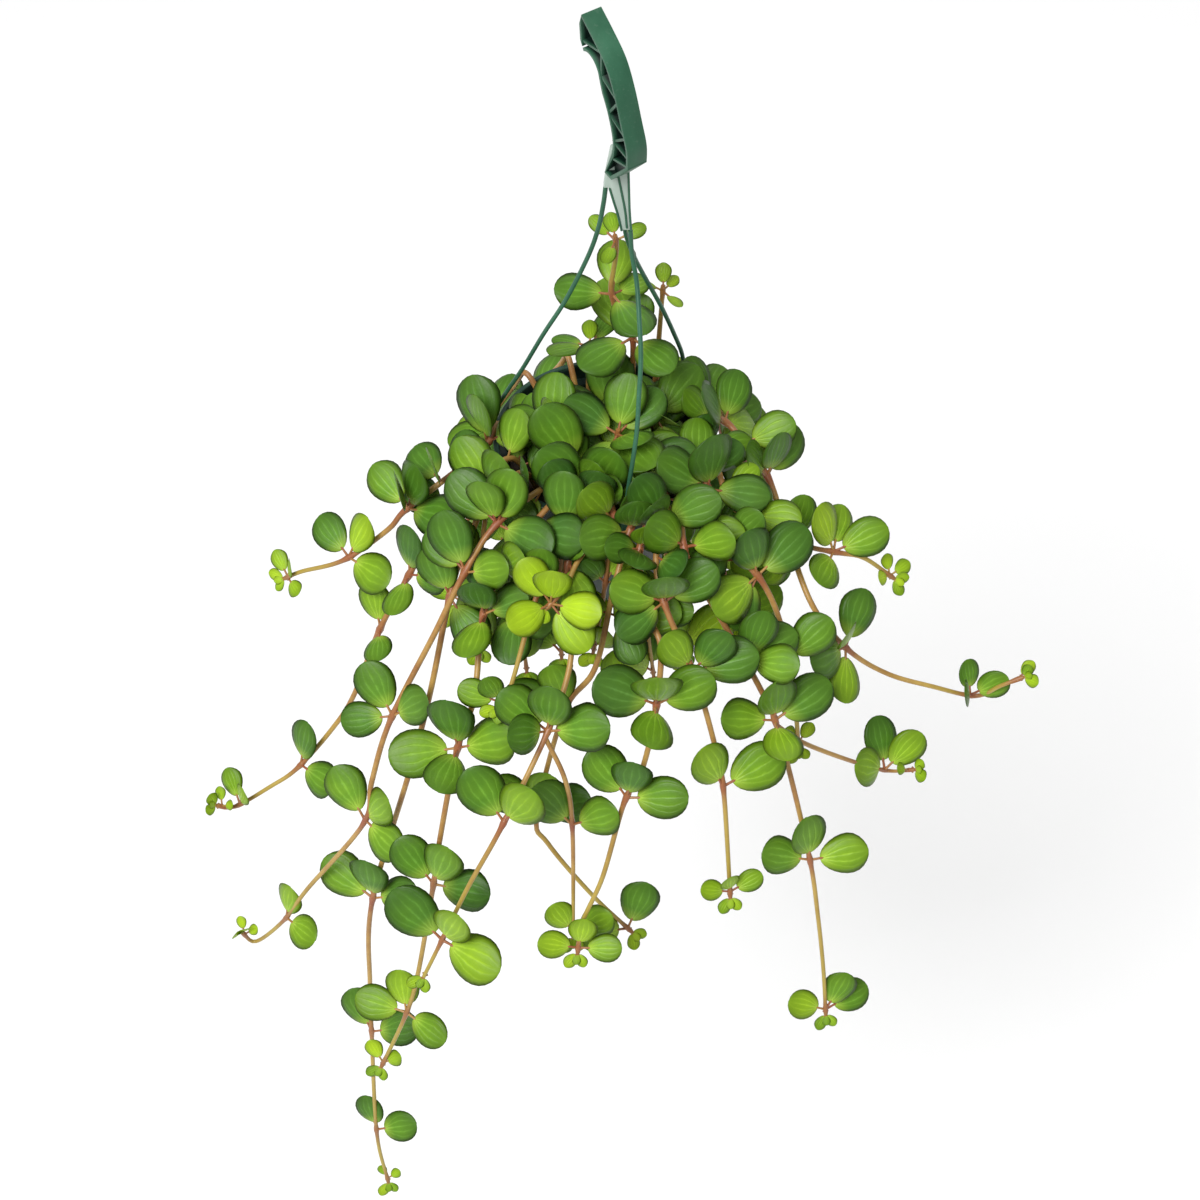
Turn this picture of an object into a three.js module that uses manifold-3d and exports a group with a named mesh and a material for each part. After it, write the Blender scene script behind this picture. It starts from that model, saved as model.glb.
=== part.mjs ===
// A hanging nursery pot of a trailing peperomia: a thin plastic pot on a hook with three strands, filled with
// soil, with a leafy crown and long stems that arch over the rim and hang all round.
// Millimetres, +Z up. The origin is where the hook bears on its rod: the inside top of the hook's arch.
import * as THREE from "three";
import { mergeVertices } from "three/addons/utils/BufferGeometryUtils.js";
import Module from "manifold-3d";

const wasm = await Module();
wasm.setup();

// Driving dimensions
const RIM_DROP = 296; // from the bearing point of the hook down to the rim's top
const POT_SIDE = 3; // the pot's axis stands this far to +X of the bearing point
const RIM_RADIUS = 70;
const RIM_SKIRT = 14;
const POT_DEPTH = 110;
const POT_BASE_RADIUS = 49;
const POT_WALL = 1.6;
const POT_SIDES = 24;
const DRAIN_HOLES = 6;
const DRAIN_RADIUS = 4;
const DRAIN_RING = 36;
const SOIL_DROP = 16; // soil surface under the rim's top
const GAP = 0.3; // between pieces that touch
const HOOK_WIDTH = 12;
const HOOK_TURN = 29; // degrees that the hook's plane is turned from the front
const HOOK_LEAN = 5; // degrees that the hook leans as it hangs
const WEB_THICKNESS = 2.4;
const FLANGE = 2;
const STRAND_RADIUS = 1.4;
const STEM_RADIUS = 1.8;
const TIP_RADIUS = 0.9;
const BLADE_THICKNESS = 0.9;
const PETIOLE = 6.5;
const GROWTH = 1.1; // of every blade, over the length that its whorl gives
const BREADTH = 0.88; // of a blade, over its length
const ARCH = 0.05; // a blade's rise along it and its fall towards the sides, over its length
const CUP = 0.04;
const SMALL_LEAF = 17;
const NODE_BACK = 4; // a whorl sits this far before the stem's ring
const STAND = 30; // degrees more that a leaf stands off a stem that it lies along
const FAN = 66; // degrees between the leaves of a whorl on a hanging stem
const STEP = 46; // between the rings of a stem
const STEM_SIDES = 4;
const CLEAR = 1.9; // room kept round each blade
const BACK_START = 58; // the first whorl of a stem that hangs behind is this far under the rim
const BACK_SPREAD = 3.4;
const CROWN_STEMS = 8;
const CROWN_FORWARD = 18; // the crown leans out over the front rim
const ROD_RADIUS = 9.5; // of the rod that the hook goes over
const HOOK_RIBS = [[[-8, 4], [13, 9]], [[13, 9], [10, -8]], [[10, -8], [27, -15]], [[27, -15], [14, -30]],
  [[14, -30], [32, -36]], [[32, -36], [16, -48]], [[16, -48], [32.5, -50]], [[32, -56], [13, -62]]];
const YOKE_DEPTH = 5;
const CLIP_DEPTH = 2.4;
const SEED = 20417;

// The stems that hang behind: their bearing at the rim and below it, counted from +X, and how far they hang
const BACK_STEMS = [
  [16, 26, 250], [38, 40, 380], [56, 60, 300], [74, 79, 420], [92, 105, 310], [110, 126, 370], [136, 146, 290],
];

// The plant's stems. Each point is side, forward and height from the middle of the rim's top. A point that
// bears a whorl goes on with the blades' length, their number and the whorl's turn in degrees.
const TRAILERS = {
  stem_left_high: [
    [-50, -4, -24], [-58, -5, -3], [-67, -4, 8], [-75, 12, 3, 29, 2, -20], [-105, 34, -9],
    [-126, 39, -27, 28, 3, -10], [-137, 42, -41], [-166, 46, -65, 26, 3, -5], [-195, 41, -82],
    [-208, 34, -97, 12, 3, 0],
  ],
  stem_left_low: [
    [-46, 18, -24], [-53, 22, 0], [-63, 29, 9], [-86, 42, -4], [-102, 48, -24], [-125, 66, -61, 24, 2, 10],
    [-145, 78, -100, 22, 1, -30], [-164, 88, -152], [-180, 95, -179], [-205, 105, -209, 23, 2, 20],
    [-224, 110, -223], [-249, 115, -239, 16, 2, -10], [-261, 117, -235, 8, 2, 0],
  ],
  stem_front_long: [
    [-40, 30, -24], [-46, 34, 0], [-55, 41, 9], [-72, 51, -3, 29, 3, 0], [-88, 74, -28],
    [-97, 93, -52, 28, 2, 0], [-109, 125, -99], [-123, 145, -150], [-156, 168, -275, 28, 3, 0],
    [-163, 180, -361], [-165, 190, -414, 26, 2, 10], [-167, 215, -513, 22, 2, 10],
    [-162, 225, -571, 8, 2, 0],
  ],
  stem_front_left: [
    [-29, 40, -24], [-34, 46, 0], [-41, 55, 9], [-68, 78, 1, 28, 3, 10], [-87, 98, -22, 28, 2, 0], [-104, 114, -54],
    [-135, 135, -117, 26, 2, -5], [-149, 150, -162], [-156, 161, -193, 26, 3, 10], [-201, 156, -278],
    [-221, 152, -322, 24, 2, 30], [-245, 147, -358], [-253, 150, -341, 8, 2, 0],
  ],
  stem_front_deep: [
    [-19, 43, -24], [-23, 52, 0], [-30, 62, 9], [-48, 82, 0, 28, 3, -10], [-65, 98, -22, 28, 2, 20], [-75, 112, -45, 28, 2, 0],
    [-80, 148, -76], [-92, 164, -112, 30, 3, -15], [-104, 188, -170], [-110, 202, -207, 28, 3, 0],
    [-123, 223, -279], [-133, 231, -317, 24, 4, 0], [-152, 239, -370, 12, 2, 0],
  ],
  stem_front_short: [
    [-13, 42, -24], [-15, 55, 0], [-19, 66, 9], [-25, 84, 1, 28, 3, 0], [-41, 114, -20, 28, 3, 0], [-57, 150, -62],
    [-65, 156, -76, 18, 3, -20],
  ],
  stem_front_middle: [
    [-1, 36, -24], [-3, 52, 0], [-9, 67, 8], [-11, 80, 3], [-23, 100, -10, 28, 3, 0], [-20, 127, -42], [-23, 148, -58],
    [-36, 178, -77, 28, 3, 0], [-63, 216, -118, 29, 2, 0], [-84, 233, -157], [-103, 249, -198, 30, 3, 20],
    [-114, 257, -223],
  ],
  stem_front_bright: [
    [4, 50, -24], [4, 60, 2], [5, 70, 8], [4, 79, 6, 28, 3, 0], [-14, 99, 0], [-24, 118, -8],
    [-35, 128, -15, 24, 5, 0],
  ],
  stem_front_curl: [
    [15, 40, -24], [19, 57, 1], [21, 69, 8], [14, 84, 0, 28, 3, -15], [5, 108, -24], [-6, 136, -63],
    [-25, 147, -92, 27, 3, -20], [-43, 170, -171, 26, 3, 0], [-36, 178, -191], [-8, 192, -229],
    [18, 200, -261, 26, 3, -10],
  ],
  stem_right_knee: [
    [24, 44, -24], [26, 54, 1], [29, 66, 9], [21, 92, -8, 28, 3, 0], [27, 122, -30], [34, 139, -39],
    [31, 163, -70, 30, 3, 0], [23, 183, -103], [12, 194, -123, 28, 3, 0], [-1, 216, -171], [-14, 229, -204],
    [-17, 237, -227, 20, 3, 0],
  ],
  stem_right_front: [
    [32, 38, -24], [34, 49, 1], [38, 61, 9], [35, 79, 4, 28, 3, 20], [31, 100, -6], [37, 122, -22, 28, 3, 0], [55, 147, -57, 28, 3, 10], [69, 171, -102], [74, 183, -127, 30, 2, 15], [79, 208, -186],
    [80, 213, -199, 14, 3, 0],
  ],
  stem_right_deep: [
    [38, 32, -24], [42, 43, 0], [47, 54, 9], [49, 92, -6, 28, 3, 0], [71, 120, -35], [88, 135, -62, 28, 3, 0],
    [100, 144, -85], [107, 150, -102, 28, 3, 0], [120, 168, -148], [133, 186, -203, 26, 3, 0],
    [139, 199, -239], [145, 212, -283], [149, 225, -324, 22, 3, 0],
  ],
  stem_right_whorls: [
    [46, 22, -24], [50, 31, 0], [59, 40, 9], [65, 54, 5, 30, 3, 0], [77, 82, -10], [96, 95, -28, 28, 3, 0],
    [108, 108, -51], [113, 125, -74, 26, 2, 10], [121, 131, -118], [124, 134, -146, 10, 2, 0],
  ],
  stem_right_high: [
    [50, 9, -24], [56, 16, 0], [67, 24, 9], [76, 52, -1], [90, 57, -14], [123, 62, -32],
    [147, 60, -42, 24, 4, 0], [163, 59, -48], [184, 57, -70, 10, 3, 0],
  ],
  stem_right_long: [
    [50, -6, -24], [60, -6, -3], [70, -6, 9], [79, -4, 6, 28, 2, 10], [89, 10, 0], [104, 25, -15, 26, 2, 10],
    [117, 60, -40, 24, 1, 20], [131, 91, -60], [155, 95, -96, 28, 3, -20], [182, 95, -120],
    [211, 99, -128], [241, 95, -143, 18, 3, 0], [254, 101, -125], [268, 100, -117, 10, 1, 60],
  ],
  shoot_main: [
    [14, -22, -24], [17, -24, 20], [17, -24, 67, 28, 4, 0], [9, -26, 74], [4, -26, 101, 26, 4, 40],
    [5, -26, 114], [7, -26, 132], [6, -26, 144, 16, 3, 60],
  ],
  shoot_back: [[-9, -34, -24], [-10, -36, 12], [-9, -34, 50, 26, 4, 0]],
  shoot_small: [[30, -28, -24], [33, -36, 30], [36, -46, 86, 14, 3, 0]],
};

// Side stems that spring from a whorl of another stem and are one body with it.
const BRANCHES = {
  stem_front_middle: [[-36, 178, -77], [-24, 188, -108], [-20, 195, -150, 28, 2, 0], [-20, 222, -232, 20, 2, 0]],
  stem_right_deep: [[107, 150, -102], [125, 147, -124], [159, 138, -156], [186, 123, -187, 24, 3, 0],
    [203, 125, -183, 8, 2, 0]],
  stem_front_curl: [[5, 108, -24], [8, 114, -44, 28, 3, 0], [15, 120, -112, 28, 2, 20]],
  stem_right_knee: [[21, 92, -8], [25, 106, -46, 28, 2, 10], [31, 112, -100, 28, 2, -20]],
  stem_front_deep: [[-65, 98, -22], [-53, 103, -50, 28, 3, 0], [-49, 110, -98, 28, 2, 20]],
  stem_front_long: [[-72, 51, -3], [-79, 75, -52, 28, 2, -20], [-79, 92, -98, 28, 2, 20]],
  stem_right_whorls: [[65, 54, 5], [74, 70, -42, 28, 2, 0], [81, 80, -90, 28, 2, 20]],
  stem_front_short: [[-25, 84, 1], [-28, 94, -40, 28, 2, -20], [-27, 104, -92, 28, 3, 10]],
  stem_front_bright: [[4, 79, 6], [0, 96, -34, 28, 3, 0], [-7, 106, -84, 28, 2, 20]],
  stem_right_front: [[35, 79, 4], [41, 92, -40, 28, 3, 0], [49, 100, -92, 28, 2, 20]],
};

// Vectors as arrays of three numbers
const add = (a, b, k = 1) => [a[0] + k * b[0], a[1] + k * b[1], a[2] + k * b[2]];
const dot = (a, b) => a[0] * b[0] + a[1] * b[1] + a[2] * b[2];
const cross = (a, b) => [a[1] * b[2] - a[2] * b[1], a[2] * b[0] - a[0] * b[2], a[0] * b[1] - a[1] * b[0]];
const unit = (a) => {
  const size = Math.sqrt(dot(a, a));
  return [a[0] / size, a[1] / size, a[2] / size];
};
const RADIAN = Math.PI / 180;

// Seeded draws between -1 and 1
function drawsFrom(seed) {
  let state = seed >>> 0;
  return () => {
    state = (Math.imul(state, 1664525) + 1013904223) >>> 0;
    return state / 2147483648 - 1;
  };
}

// Side, forward and height from the rim's middle, as a place in the part's frame
const place = ([side, forward, height]) => [POT_SIDE + side, -forward, height - RIM_DROP];

// A smooth line through the points, with a step about every STEP millimetres
function smoothLine(points) {
  const line = [];
  const last = points.length - 1;
  for (let i = 0; i < last; i += 1) {
    const [b, c] = [points[i], points[i + 1]];
    const a = i > 0 ? points[i - 1] : add(b, add(b, c, -1));
    const d = i + 2 <= last ? points[i + 2] : add(c, add(c, b, -1));
    const apart = add(c, b, -1);
    const steps = Math.max(1, Math.round(Math.sqrt(dot(apart, apart)) / STEP));
    for (let k = 0; k < steps; k += 1) {
      const t = k / steps;
      line.push(
        b.map((_, j) => {
          const [out, into] = [(c[j] - a[j]) / 2, (d[j] - b[j]) / 2];
          const [square, cube] = [3 * (c[j] - b[j]) - 2 * out - into, 2 * (b[j] - c[j]) + out + into];
          return b[j] + out * t + square * t * t + cube * t * t * t;
        }),
      );
    }
  }
  line.push(points[last]);
  return line;
}

// Stems by rule: the ones that hang behind the pot, and the short ones of the crown
function hangingWay([rimBearing, lowBearing, reach], draw) {
  const at = (bearing, radius, height) => [
    radius * Math.cos(bearing * RADIAN), -radius * Math.sin(bearing * RADIAN), height,
  ];
  const way = [
    at(rimBearing, 46, -24), at(rimBearing, 58, -2), at(rimBearing, 70, 8.5), at(rimBearing, 80, -8),
  ];
  const turn = lowBearing - rimBearing;
  for (let drop = BACK_START; drop < reach; drop += 84 + 16 * draw()) {
    const share = drop / reach;
    const bearing = rimBearing + turn * (1 - Math.exp(-drop / 80));
    const [radius, count] = [74 + BACK_SPREAD * Math.sqrt(drop), share > 0.4 ? 2 : 3];
    way.push([...at(bearing, radius, -drop), 28 - 13 * share ** 3, count, 25 * draw()]);
  }
  return way;
}

function crownWay(index, draw) {
  const [turn, radius] = [index * 137.5 * RADIAN, 6 + 10 * Math.sqrt(index)];
  const at = (grow, height) => [
    radius * grow * Math.cos(turn), radius * grow * Math.sin(turn) + CROWN_FORWARD, height,
  ];
  const top = 24 - 0.3 * radius + 6 * draw();
  return [at(1, -24), at(1.05, -6), [...at(1.15, 4), 27, 2, 180 * draw()], [...at(1.4, top), 28, 4, 180 * draw()]];
}

// The parts of each stem: its own line, with its whorls, and any side stems
function stemsOf(draw) {
  const stems = [];
  const grow = (name, ways, upright) => {
    const parts = ways.map((way, index) => {
      const line = smoothLine(way.map((point) => place(point.slice(0, 3))));
      const whorls = way
        .filter((point, i) => point.length > 3 && i > 0)
        .map(([side, forward, height, size, count, turn]) => {
          const ring = line.findIndex((point) => !farApart(point, place([side, forward, height]), GAP));
          const back = unit(add(line[ring - 1], line[ring], -1));
          return { stem: name, at: add(line[ring], back, NODE_BACK), back, size, count, turn };
        });
      return { line, whorls, radius: index === 0 ? STEM_RADIUS : 0.8 * STEM_RADIUS };
    });
    stems.push({ name, parts, upright });
  };
  for (const [name, way] of Object.entries(TRAILERS))
    grow(name, BRANCHES[name] ? [way, BRANCHES[name]] : [way], name.startsWith("shoot"));
  BACK_STEMS.forEach((bearings, i) => grow("stem_back_" + (i + 1), [hangingWay(bearings, draw)], false));
  for (let i = 0; i < CROWN_STEMS; i += 1) grow("stem_crown_" + (i + 1), [crownWay(i, draw)], true);
  return stems;
}

// A blade's rise over the plane through its rim: arched along, and cupped across. u and v run from -1 to 1.
const rise = (length, u, v) => length * (ARCH * (1 - u * u) - CUP * v * v);

// A leaf's frame at a whorl: its axis leaves the node at an angle from straight up, as seen along the light.
function leafAt({ stem, at: node, back }, light, fan, lift, size) {
  const up = unit(add([0, 0, 1], light, -light[2]));
  const side = cross(up, light);
  const [c, s] = [Math.cos(fan * RADIAN), Math.sin(fan * RADIAN)];
  const flat = [0, 1, 2].map((j) => up[j] * c + side[j] * s);
  const stand = (lift + STAND * dot(flat, back) ** 2) * RADIAN;
  const [cl, sl] = [Math.cos(stand), Math.sin(stand)];
  const axis = [0, 1, 2].map((j) => flat[j] * cl + light[j] * sl);
  const normal = [0, 1, 2].map((j) => light[j] * cl - flat[j] * sl);
  const petiole = PETIOLE * Math.min(1, 0.4 + size / 40);
  return {
    stem, node, axis, normal, across: cross(axis, normal), length: size, width: size * BREADTH, petiole,
    middle: add(node, axis, petiole + size / 2),
  };
}

const onBlade = (leaf, u, v) =>
  add(add(add(leaf.middle, leaf.axis, (u * leaf.length) / 2), leaf.across, (v * leaf.width) / 2),
    leaf.normal, rise(leaf.length, u, v));

// The rim of a blade as the outline has it, and the points half way in
const RING = [0, 1, 2, 3, 4, 5, 6, 7].map((i) => [Math.cos(i * 45 * RADIAN), Math.sin(i * 45 * RADIAN)]);
function cageOf(leaf) {
  const ring = RING.map(([u, v]) => onBlade(leaf, u, v));
  const inner = RING.map(([u, v]) => onBlade(leaf, u / 2, v / 2));
  const middle = onBlade(leaf, 0, 0);
  const bars = [];
  ring.forEach((point, i) => bars.push([point, ring[(i + 1) % 8]], [point, inner[i]], [inner[i], middle]));
  return { points: [...ring, ...inner, middle], bars };
}

// Whether a round bar comes too near a blade
function barMeets(a, b, radius, leaf) {
  const near = radius + CLEAR;
  const [from, to] = [add(a, leaf.middle, -1), add(b, leaf.middle, -1)];
  const [h0, h1] = [dot(from, leaf.normal), dot(to, leaf.normal)];
  const bow = leaf.length * ARCH;
  const [low, high] = [-near - leaf.length * CUP, near + bow];
  if ((h0 < low && h1 < low) || (h0 > high && h1 > high)) return false;
  for (let k = 0; k <= 4; k += 1) {
    const t = k / 4;
    const p = add(from, add(to, from, -1), t);
    const [u, v] = [(2 * dot(p, leaf.axis)) / leaf.length, (2 * dot(p, leaf.across)) / leaf.width];
    const [pu, pv] = [u / (1 + (2 * near) / leaf.length), v / (1 + (2 * near) / leaf.width)];
    if (pu * pu + pv * pv > 1) continue;
    const step = Math.abs(h1 - h0) / 8;
    if (Math.abs(dot(p, leaf.normal) - rise(leaf.length, u, v)) < near + step) return true;
  }
  return false;
}

const farApart = (a, b, reach) => {
  const d = add(a, b, -1);
  return dot(d, d) > reach * reach;
};

// Whether a place lies in the pot's wall, its rim or the soil, with a little room round them
function inPot(point) {
  const height = point[2] + RIM_DROP;
  const radius = Math.hypot(point[0] - POT_SIDE, point[1]);
  if (height > CLEAR || height < -POT_DEPTH - CLEAR) return false;
  const cone = POT_BASE_RADIUS + ((RIM_RADIUS - 7 - POT_BASE_RADIUS) * (height + POT_DEPTH)) / POT_DEPTH;
  const outer = height > -RIM_SKIRT - CLEAR ? RIM_RADIUS : cone;
  if (radius > outer + CLEAR) return false;
  return radius > RIM_RADIUS - 8 - CLEAR || height < 2 + CLEAR - SOIL_DROP;
}

// Puts leaves on every whorl. Each leaf takes the first stance that is clear of what already stands there.
function leavesOf(stems, strands, draw) {
  const leaves = [];
  const bars = [];
  for (const line of strands)
    for (let i = 1; i < line.length; i += 1) bars.push({ a: line[i - 1], b: line[i], radius: STRAND_RADIUS });
  for (const stem of stems)
    for (const { line, radius } of stem.parts)
      for (let i = 1; i < line.length; i += 1)
        bars.push({ stem: stem.name, a: line[i - 1], b: line[i], radius });
  const clear = (leaf) => {
    const cage = cageOf(leaf);
    if (cage.points.some(inPot)) return false;
    const stalk = [add(leaf.node, leaf.axis, 3), add(leaf.node, leaf.axis, leaf.petiole)];
    for (const bar of bars) {
      if (farApart(bar.a, leaf.middle, 75)) continue;
      if (bar.stem === leaf.stem && (!farApart(bar.a, leaf.node, 7) || !farApart(bar.b, leaf.node, 7))) continue;
      if (barMeets(bar.a, bar.b, bar.radius, leaf)) return false;
    }
    for (const other of leaves) {
      if (farApart(other.middle, leaf.middle, (other.length + leaf.length) * 0.62 + 6)) continue;
      if (barMeets(...other.stalk, 0.8, leaf) || barMeets(...stalk, 0.8, other)) return false;
      if (cage.bars.some(([a, b]) => barMeets(a, b, 0, other))) return false;
      if (other.cage.bars.some(([a, b]) => barMeets(a, b, 0, leaf))) return false;
    }
    Object.assign(leaf, { cage, stalk });
    return true;
  };
  for (const stem of stems)
    for (const part of stem.parts)
      for (const whorl of part.whorls) {
        const outward = [whorl.at[0] - POT_SIDE, whorl.at[1], 0];
        const out = Math.sqrt(dot(outward, outward)) > 30 ? unit(outward) : [0, 0, 0];
        for (let k = 0; k < whorl.count; k += 1) {
          const spread = stem.upright ? 360 / whorl.count : FAN;
          const fan = whorl.turn + spread * (k - (whorl.count - 1) / 2) + 9 * draw();
          const light = unit([0.45 * out[0] + 0.12 * draw(), 0.45 * out[1] - 0.3 + 0.12 * draw(), 0.78]);
          const lift = 12 + 6 * draw();
          const size = GROWTH * whorl.size * (1 + 0.1 * draw());
          const leaf = firstClear(whorl, light, fan, lift, size, clear);
          if (leaf) leaves.push(leaf);
        }
      }
  return leaves;
}

function firstClear(whorl, light, fan, lift, size, clear) {
  for (const part of [1, 0.9, 0.8, 0.68])
    for (const raise of [0, 13, -12, 26])
      for (const swing of [0, 12, -12, 25, -25]) {
        const leaf = leafAt(whorl, light, fan + swing, lift + raise, size * part);
        if (clear(leaf)) return leaf;
      }
  return null;
}

// Solids
function solidOf(geometry) {
  const bare = geometry.clone();
  bare.deleteAttribute("normal");
  bare.deleteAttribute("uv");
  const merged = mergeVertices(bare, 1e-4);
  const solid = new wasm.Manifold(
    new wasm.Mesh({
      numProp: 3,
      vertProperties: merged.attributes.position.array,
      triVerts: new Uint32Array(merged.index.array),
    }),
  );
  return solid;
}

function meshOf(name, solid, material) {
  const { vertProperties, triVerts } = solid.getMesh();
  const geometry = new THREE.BufferGeometry();
  geometry.setAttribute("position", new THREE.BufferAttribute(vertProperties, 3));
  geometry.setIndex(new THREE.BufferAttribute(triVerts, 1));
  geometry.computeVertexNormals();
  const mesh = new THREE.Mesh(geometry, material);
  mesh.name = name;
  return mesh;
}

const joined = (solids) => wasm.Manifold.union(solids);

// A round rod along a line of points, its radius running evenly from one end to the other
function rod(line, from, to, sides) {
  const rings = line.length - 1;
  const geometry = new THREE.CylinderGeometry(1, 1, 1, sides, rings);
  const frames = [];
  let across = Math.abs(add(line[1], line[0], -1)[0]) < 1 ? [1, 0, 0] : [0, 1, 0];
  for (let i = 0; i <= rings; i += 1) {
    const along = unit(add(line[Math.min(i + 1, rings)], line[Math.max(i - 1, 0)], -1));
    across = unit(add(across, along, -dot(across, along)));
    frames.push({ across, other: cross(across, along), radius: from + ((to - from) * i) / rings });
  }
  const position = geometry.attributes.position;
  for (let i = 0; i < position.count; i += 1) {
    const ring = Math.round((position.getY(i) + 0.5) * rings);
    const { across: x, other, radius } = frames[ring];
    const point = add(add(line[ring], x, radius * position.getX(i)), other, radius * position.getZ(i));
    position.setXYZ(i, ...point);
  }
  return solidOf(geometry);
}

// A blade with its petiole, whose root lies inside the stem
function bladeSolid(leaf) {
  const { length, width, petiole } = leaf;
  const shape = new THREE.Shape();
  const half = width / 2;
  const small = length < SMALL_LEAF;
  const neck = small ? 0.6 : 0.8;
  shape.moveTo(0, -0.3);
  shape.lineTo(neck, petiole);
  if (small) {
    shape.lineTo(half, petiole + length / 2);
    shape.lineTo(0, petiole + length);
    shape.lineTo(-half, petiole + length / 2);
  } else {
    shape.lineTo(half, petiole + length * 0.42);
    shape.lineTo(half * 0.6, petiole + length * 0.95);
    shape.lineTo(-half * 0.6, petiole + length * 0.95);
    shape.lineTo(-half, petiole + length * 0.42);
  }
  shape.lineTo(-neck, petiole);
  const geometry = new THREE.ExtrudeGeometry(shape, { depth: BLADE_THICKNESS, bevelEnabled: false, steps: 1 });
  const position = geometry.attributes.position;
  for (let i = 0; i < position.count; i += 1) {
    const u = Math.max(-1, (2 * (position.getY(i) - petiole)) / length - 1);
    const v = position.getX(i) / half;
    position.setZ(i, position.getZ(i) - BLADE_THICKNESS / 2 + rise(length, u, v));
  }
  const [x, y, z] = [leaf.across, leaf.axis, leaf.normal].map((axis) => new THREE.Vector3(...axis));
  geometry.applyMatrix4(new THREE.Matrix4().makeBasis(x, y, z).setPosition(...leaf.node));
  return solidOf(geometry);
}

function leafyStem(stem, leaves) {
  const rods = stem.parts.map(({ line, radius }) => rod(line, radius, TIP_RADIUS, STEM_SIDES));
  const blades = leaves.filter((leaf) => leaf.stem === stem.name).map(bladeSolid);
  return joined([...rods, ...blades]);
}

function turned(profile, sides) {
  const points = profile.map(([radius, height]) => new THREE.Vector2(radius, height));
  return new THREE.LatheGeometry(points, sides).rotateX(Math.PI / 2);
}

// The pot: a thin tapered wall with a deep rim and drain holes
function potSolid() {
  const wall = RIM_RADIUS - 7;
  const inner = (radius) => radius - POT_WALL;
  const shell = solidOf(
    turned(
      [
        [0, -POT_DEPTH + 2], [POT_BASE_RADIUS - 12, -POT_DEPTH + 2], [POT_BASE_RADIUS - 9, -POT_DEPTH],
        [POT_BASE_RADIUS - 1, -POT_DEPTH], [wall, -RIM_SKIRT - 2], [wall + 5, -RIM_SKIRT],
        [RIM_RADIUS - 1.4, -3], [RIM_RADIUS, -2.4], [RIM_RADIUS, 0], [RIM_RADIUS - 3.4, 0],
        [RIM_RADIUS - 3.6, -RIM_SKIRT + 2], [inner(wall), -RIM_SKIRT - 1],
        [inner(POT_BASE_RADIUS), -POT_DEPTH + 3.6], [0, -POT_DEPTH + 3.6],
      ],
      POT_SIDES,
    ),
  );
  const holes = [];
  for (let i = 0; i < DRAIN_HOLES; i += 1) {
    const turn = ((i + 0.5) / DRAIN_HOLES) * 2 * Math.PI;
    const drill = new THREE.CylinderGeometry(DRAIN_RADIUS, DRAIN_RADIUS, 12, 8).rotateX(Math.PI / 2);
    drill.translate(DRAIN_RING * Math.cos(turn), DRAIN_RING * Math.sin(turn), -POT_DEPTH + 3);
    holes.push(solidOf(drill));
  }
  return shell.subtract(joined(holes)).translate(POT_SIDE, 0, -RIM_DROP);
}

// The soil fills the pot, with a plain hole for each stem
function soilSolid(stems) {
  const wall = RIM_RADIUS - 7 - POT_WALL - GAP;
  const base = POT_BASE_RADIUS - POT_WALL - GAP;
  const floor = -POT_DEPTH + 3.6 + GAP;
  const taper = (wall - base) / (POT_DEPTH - RIM_SKIRT - 4.6);
  const edge = base + taper * (-SOIL_DROP - 2 - floor) - 0.4;
  const rings = [0, 0.35, 0.7].map((share) => [edge * share, -SOIL_DROP + 2 * (1 - share)]);
  const geometry = turned([[0, floor], [base, floor], [edge, -SOIL_DROP - 2], ...rings.reverse()], POT_SIDES);
  const position = geometry.attributes.position;
  for (let i = 0; i < position.count; i += 1) {
    const [x, y, z] = [position.getX(i), position.getY(i), position.getZ(i)];
    const bump = 0.9 * Math.sin(0.31 * x + 1) * Math.cos(0.27 * y) + 0.6 * Math.sin(0.6 * x - 0.5 * y);
    if (z > -SOIL_DROP - 1) position.setZ(i, z + bump);
  }
  const holes = stems.map(({ parts }) => {
    const [root, next] = parts[0].line;
    const along = unit(add(next, root, -1));
    const bore = STEM_RADIUS + 0.6;
    return rod([add(root, along, -1), add(root, along, 16)], bore, bore, 4);
  });
  return solidOf(geometry).translate(POT_SIDE, 0, -RIM_DROP).subtract(joined(holes));
}

// The hook: a plate with flanges all round, a thin web and slanted ribs. Its outline is drawn in its own
// plane, across and up from the bearing point, first down its back and then up its inner side.
const HOOK_BACK = [[-5, 23], [7, 15], [19, 5], [26, -10], [31, -30], [34, -44], [32, -57]];
const HOOK_CHIN = [[10, -79], [2, -79]];
const HOOK_THROAT = [[14, -58], [17, -46], [14.5, -30], [10, -19]];
const HOOK_TIP = [[-10, 4], [-9, 15]];

// The hook's outline, drawn in by a margin
function hookOutline(margin) {
  const vector = ([x, y]) => new THREE.Vector2(x, y);
  const spline = (points, steps) => {
    const curve = new THREE.SplineCurve(points.map(vector));
    return curve.getPoints(steps).map((point, i) => {
      const along = curve.getTangent(i / steps);
      return new THREE.Vector2(point.x + margin * along.y, point.y - margin * along.x);
    });
  };
  const reach = ROD_RADIUS + margin;
  const saddle = new THREE.EllipseCurve(-1.3, -ROD_RADIUS, reach, reach, 0, 0.72 * Math.PI, false);
  const [[backX, chinY], [frontX]] = HOOK_CHIN;
  const chin = [[backX - margin / 2, chinY + margin], [frontX + margin, chinY + margin]];
  return [
    ...spline(HOOK_BACK, 9), ...chin.map(vector), ...spline(HOOK_THROAT, 4), ...saddle.getPoints(5),
    ...spline(HOOK_TIP, 1),
  ];
}

const plateOf = (outline, depth, front) =>
  solidOf(
    new THREE.ExtrudeGeometry(new THREE.Shape(outline), { depth, bevelEnabled: false })
      .rotateX(Math.PI / 2)
      .translate(0, front, 0),
  );

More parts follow.
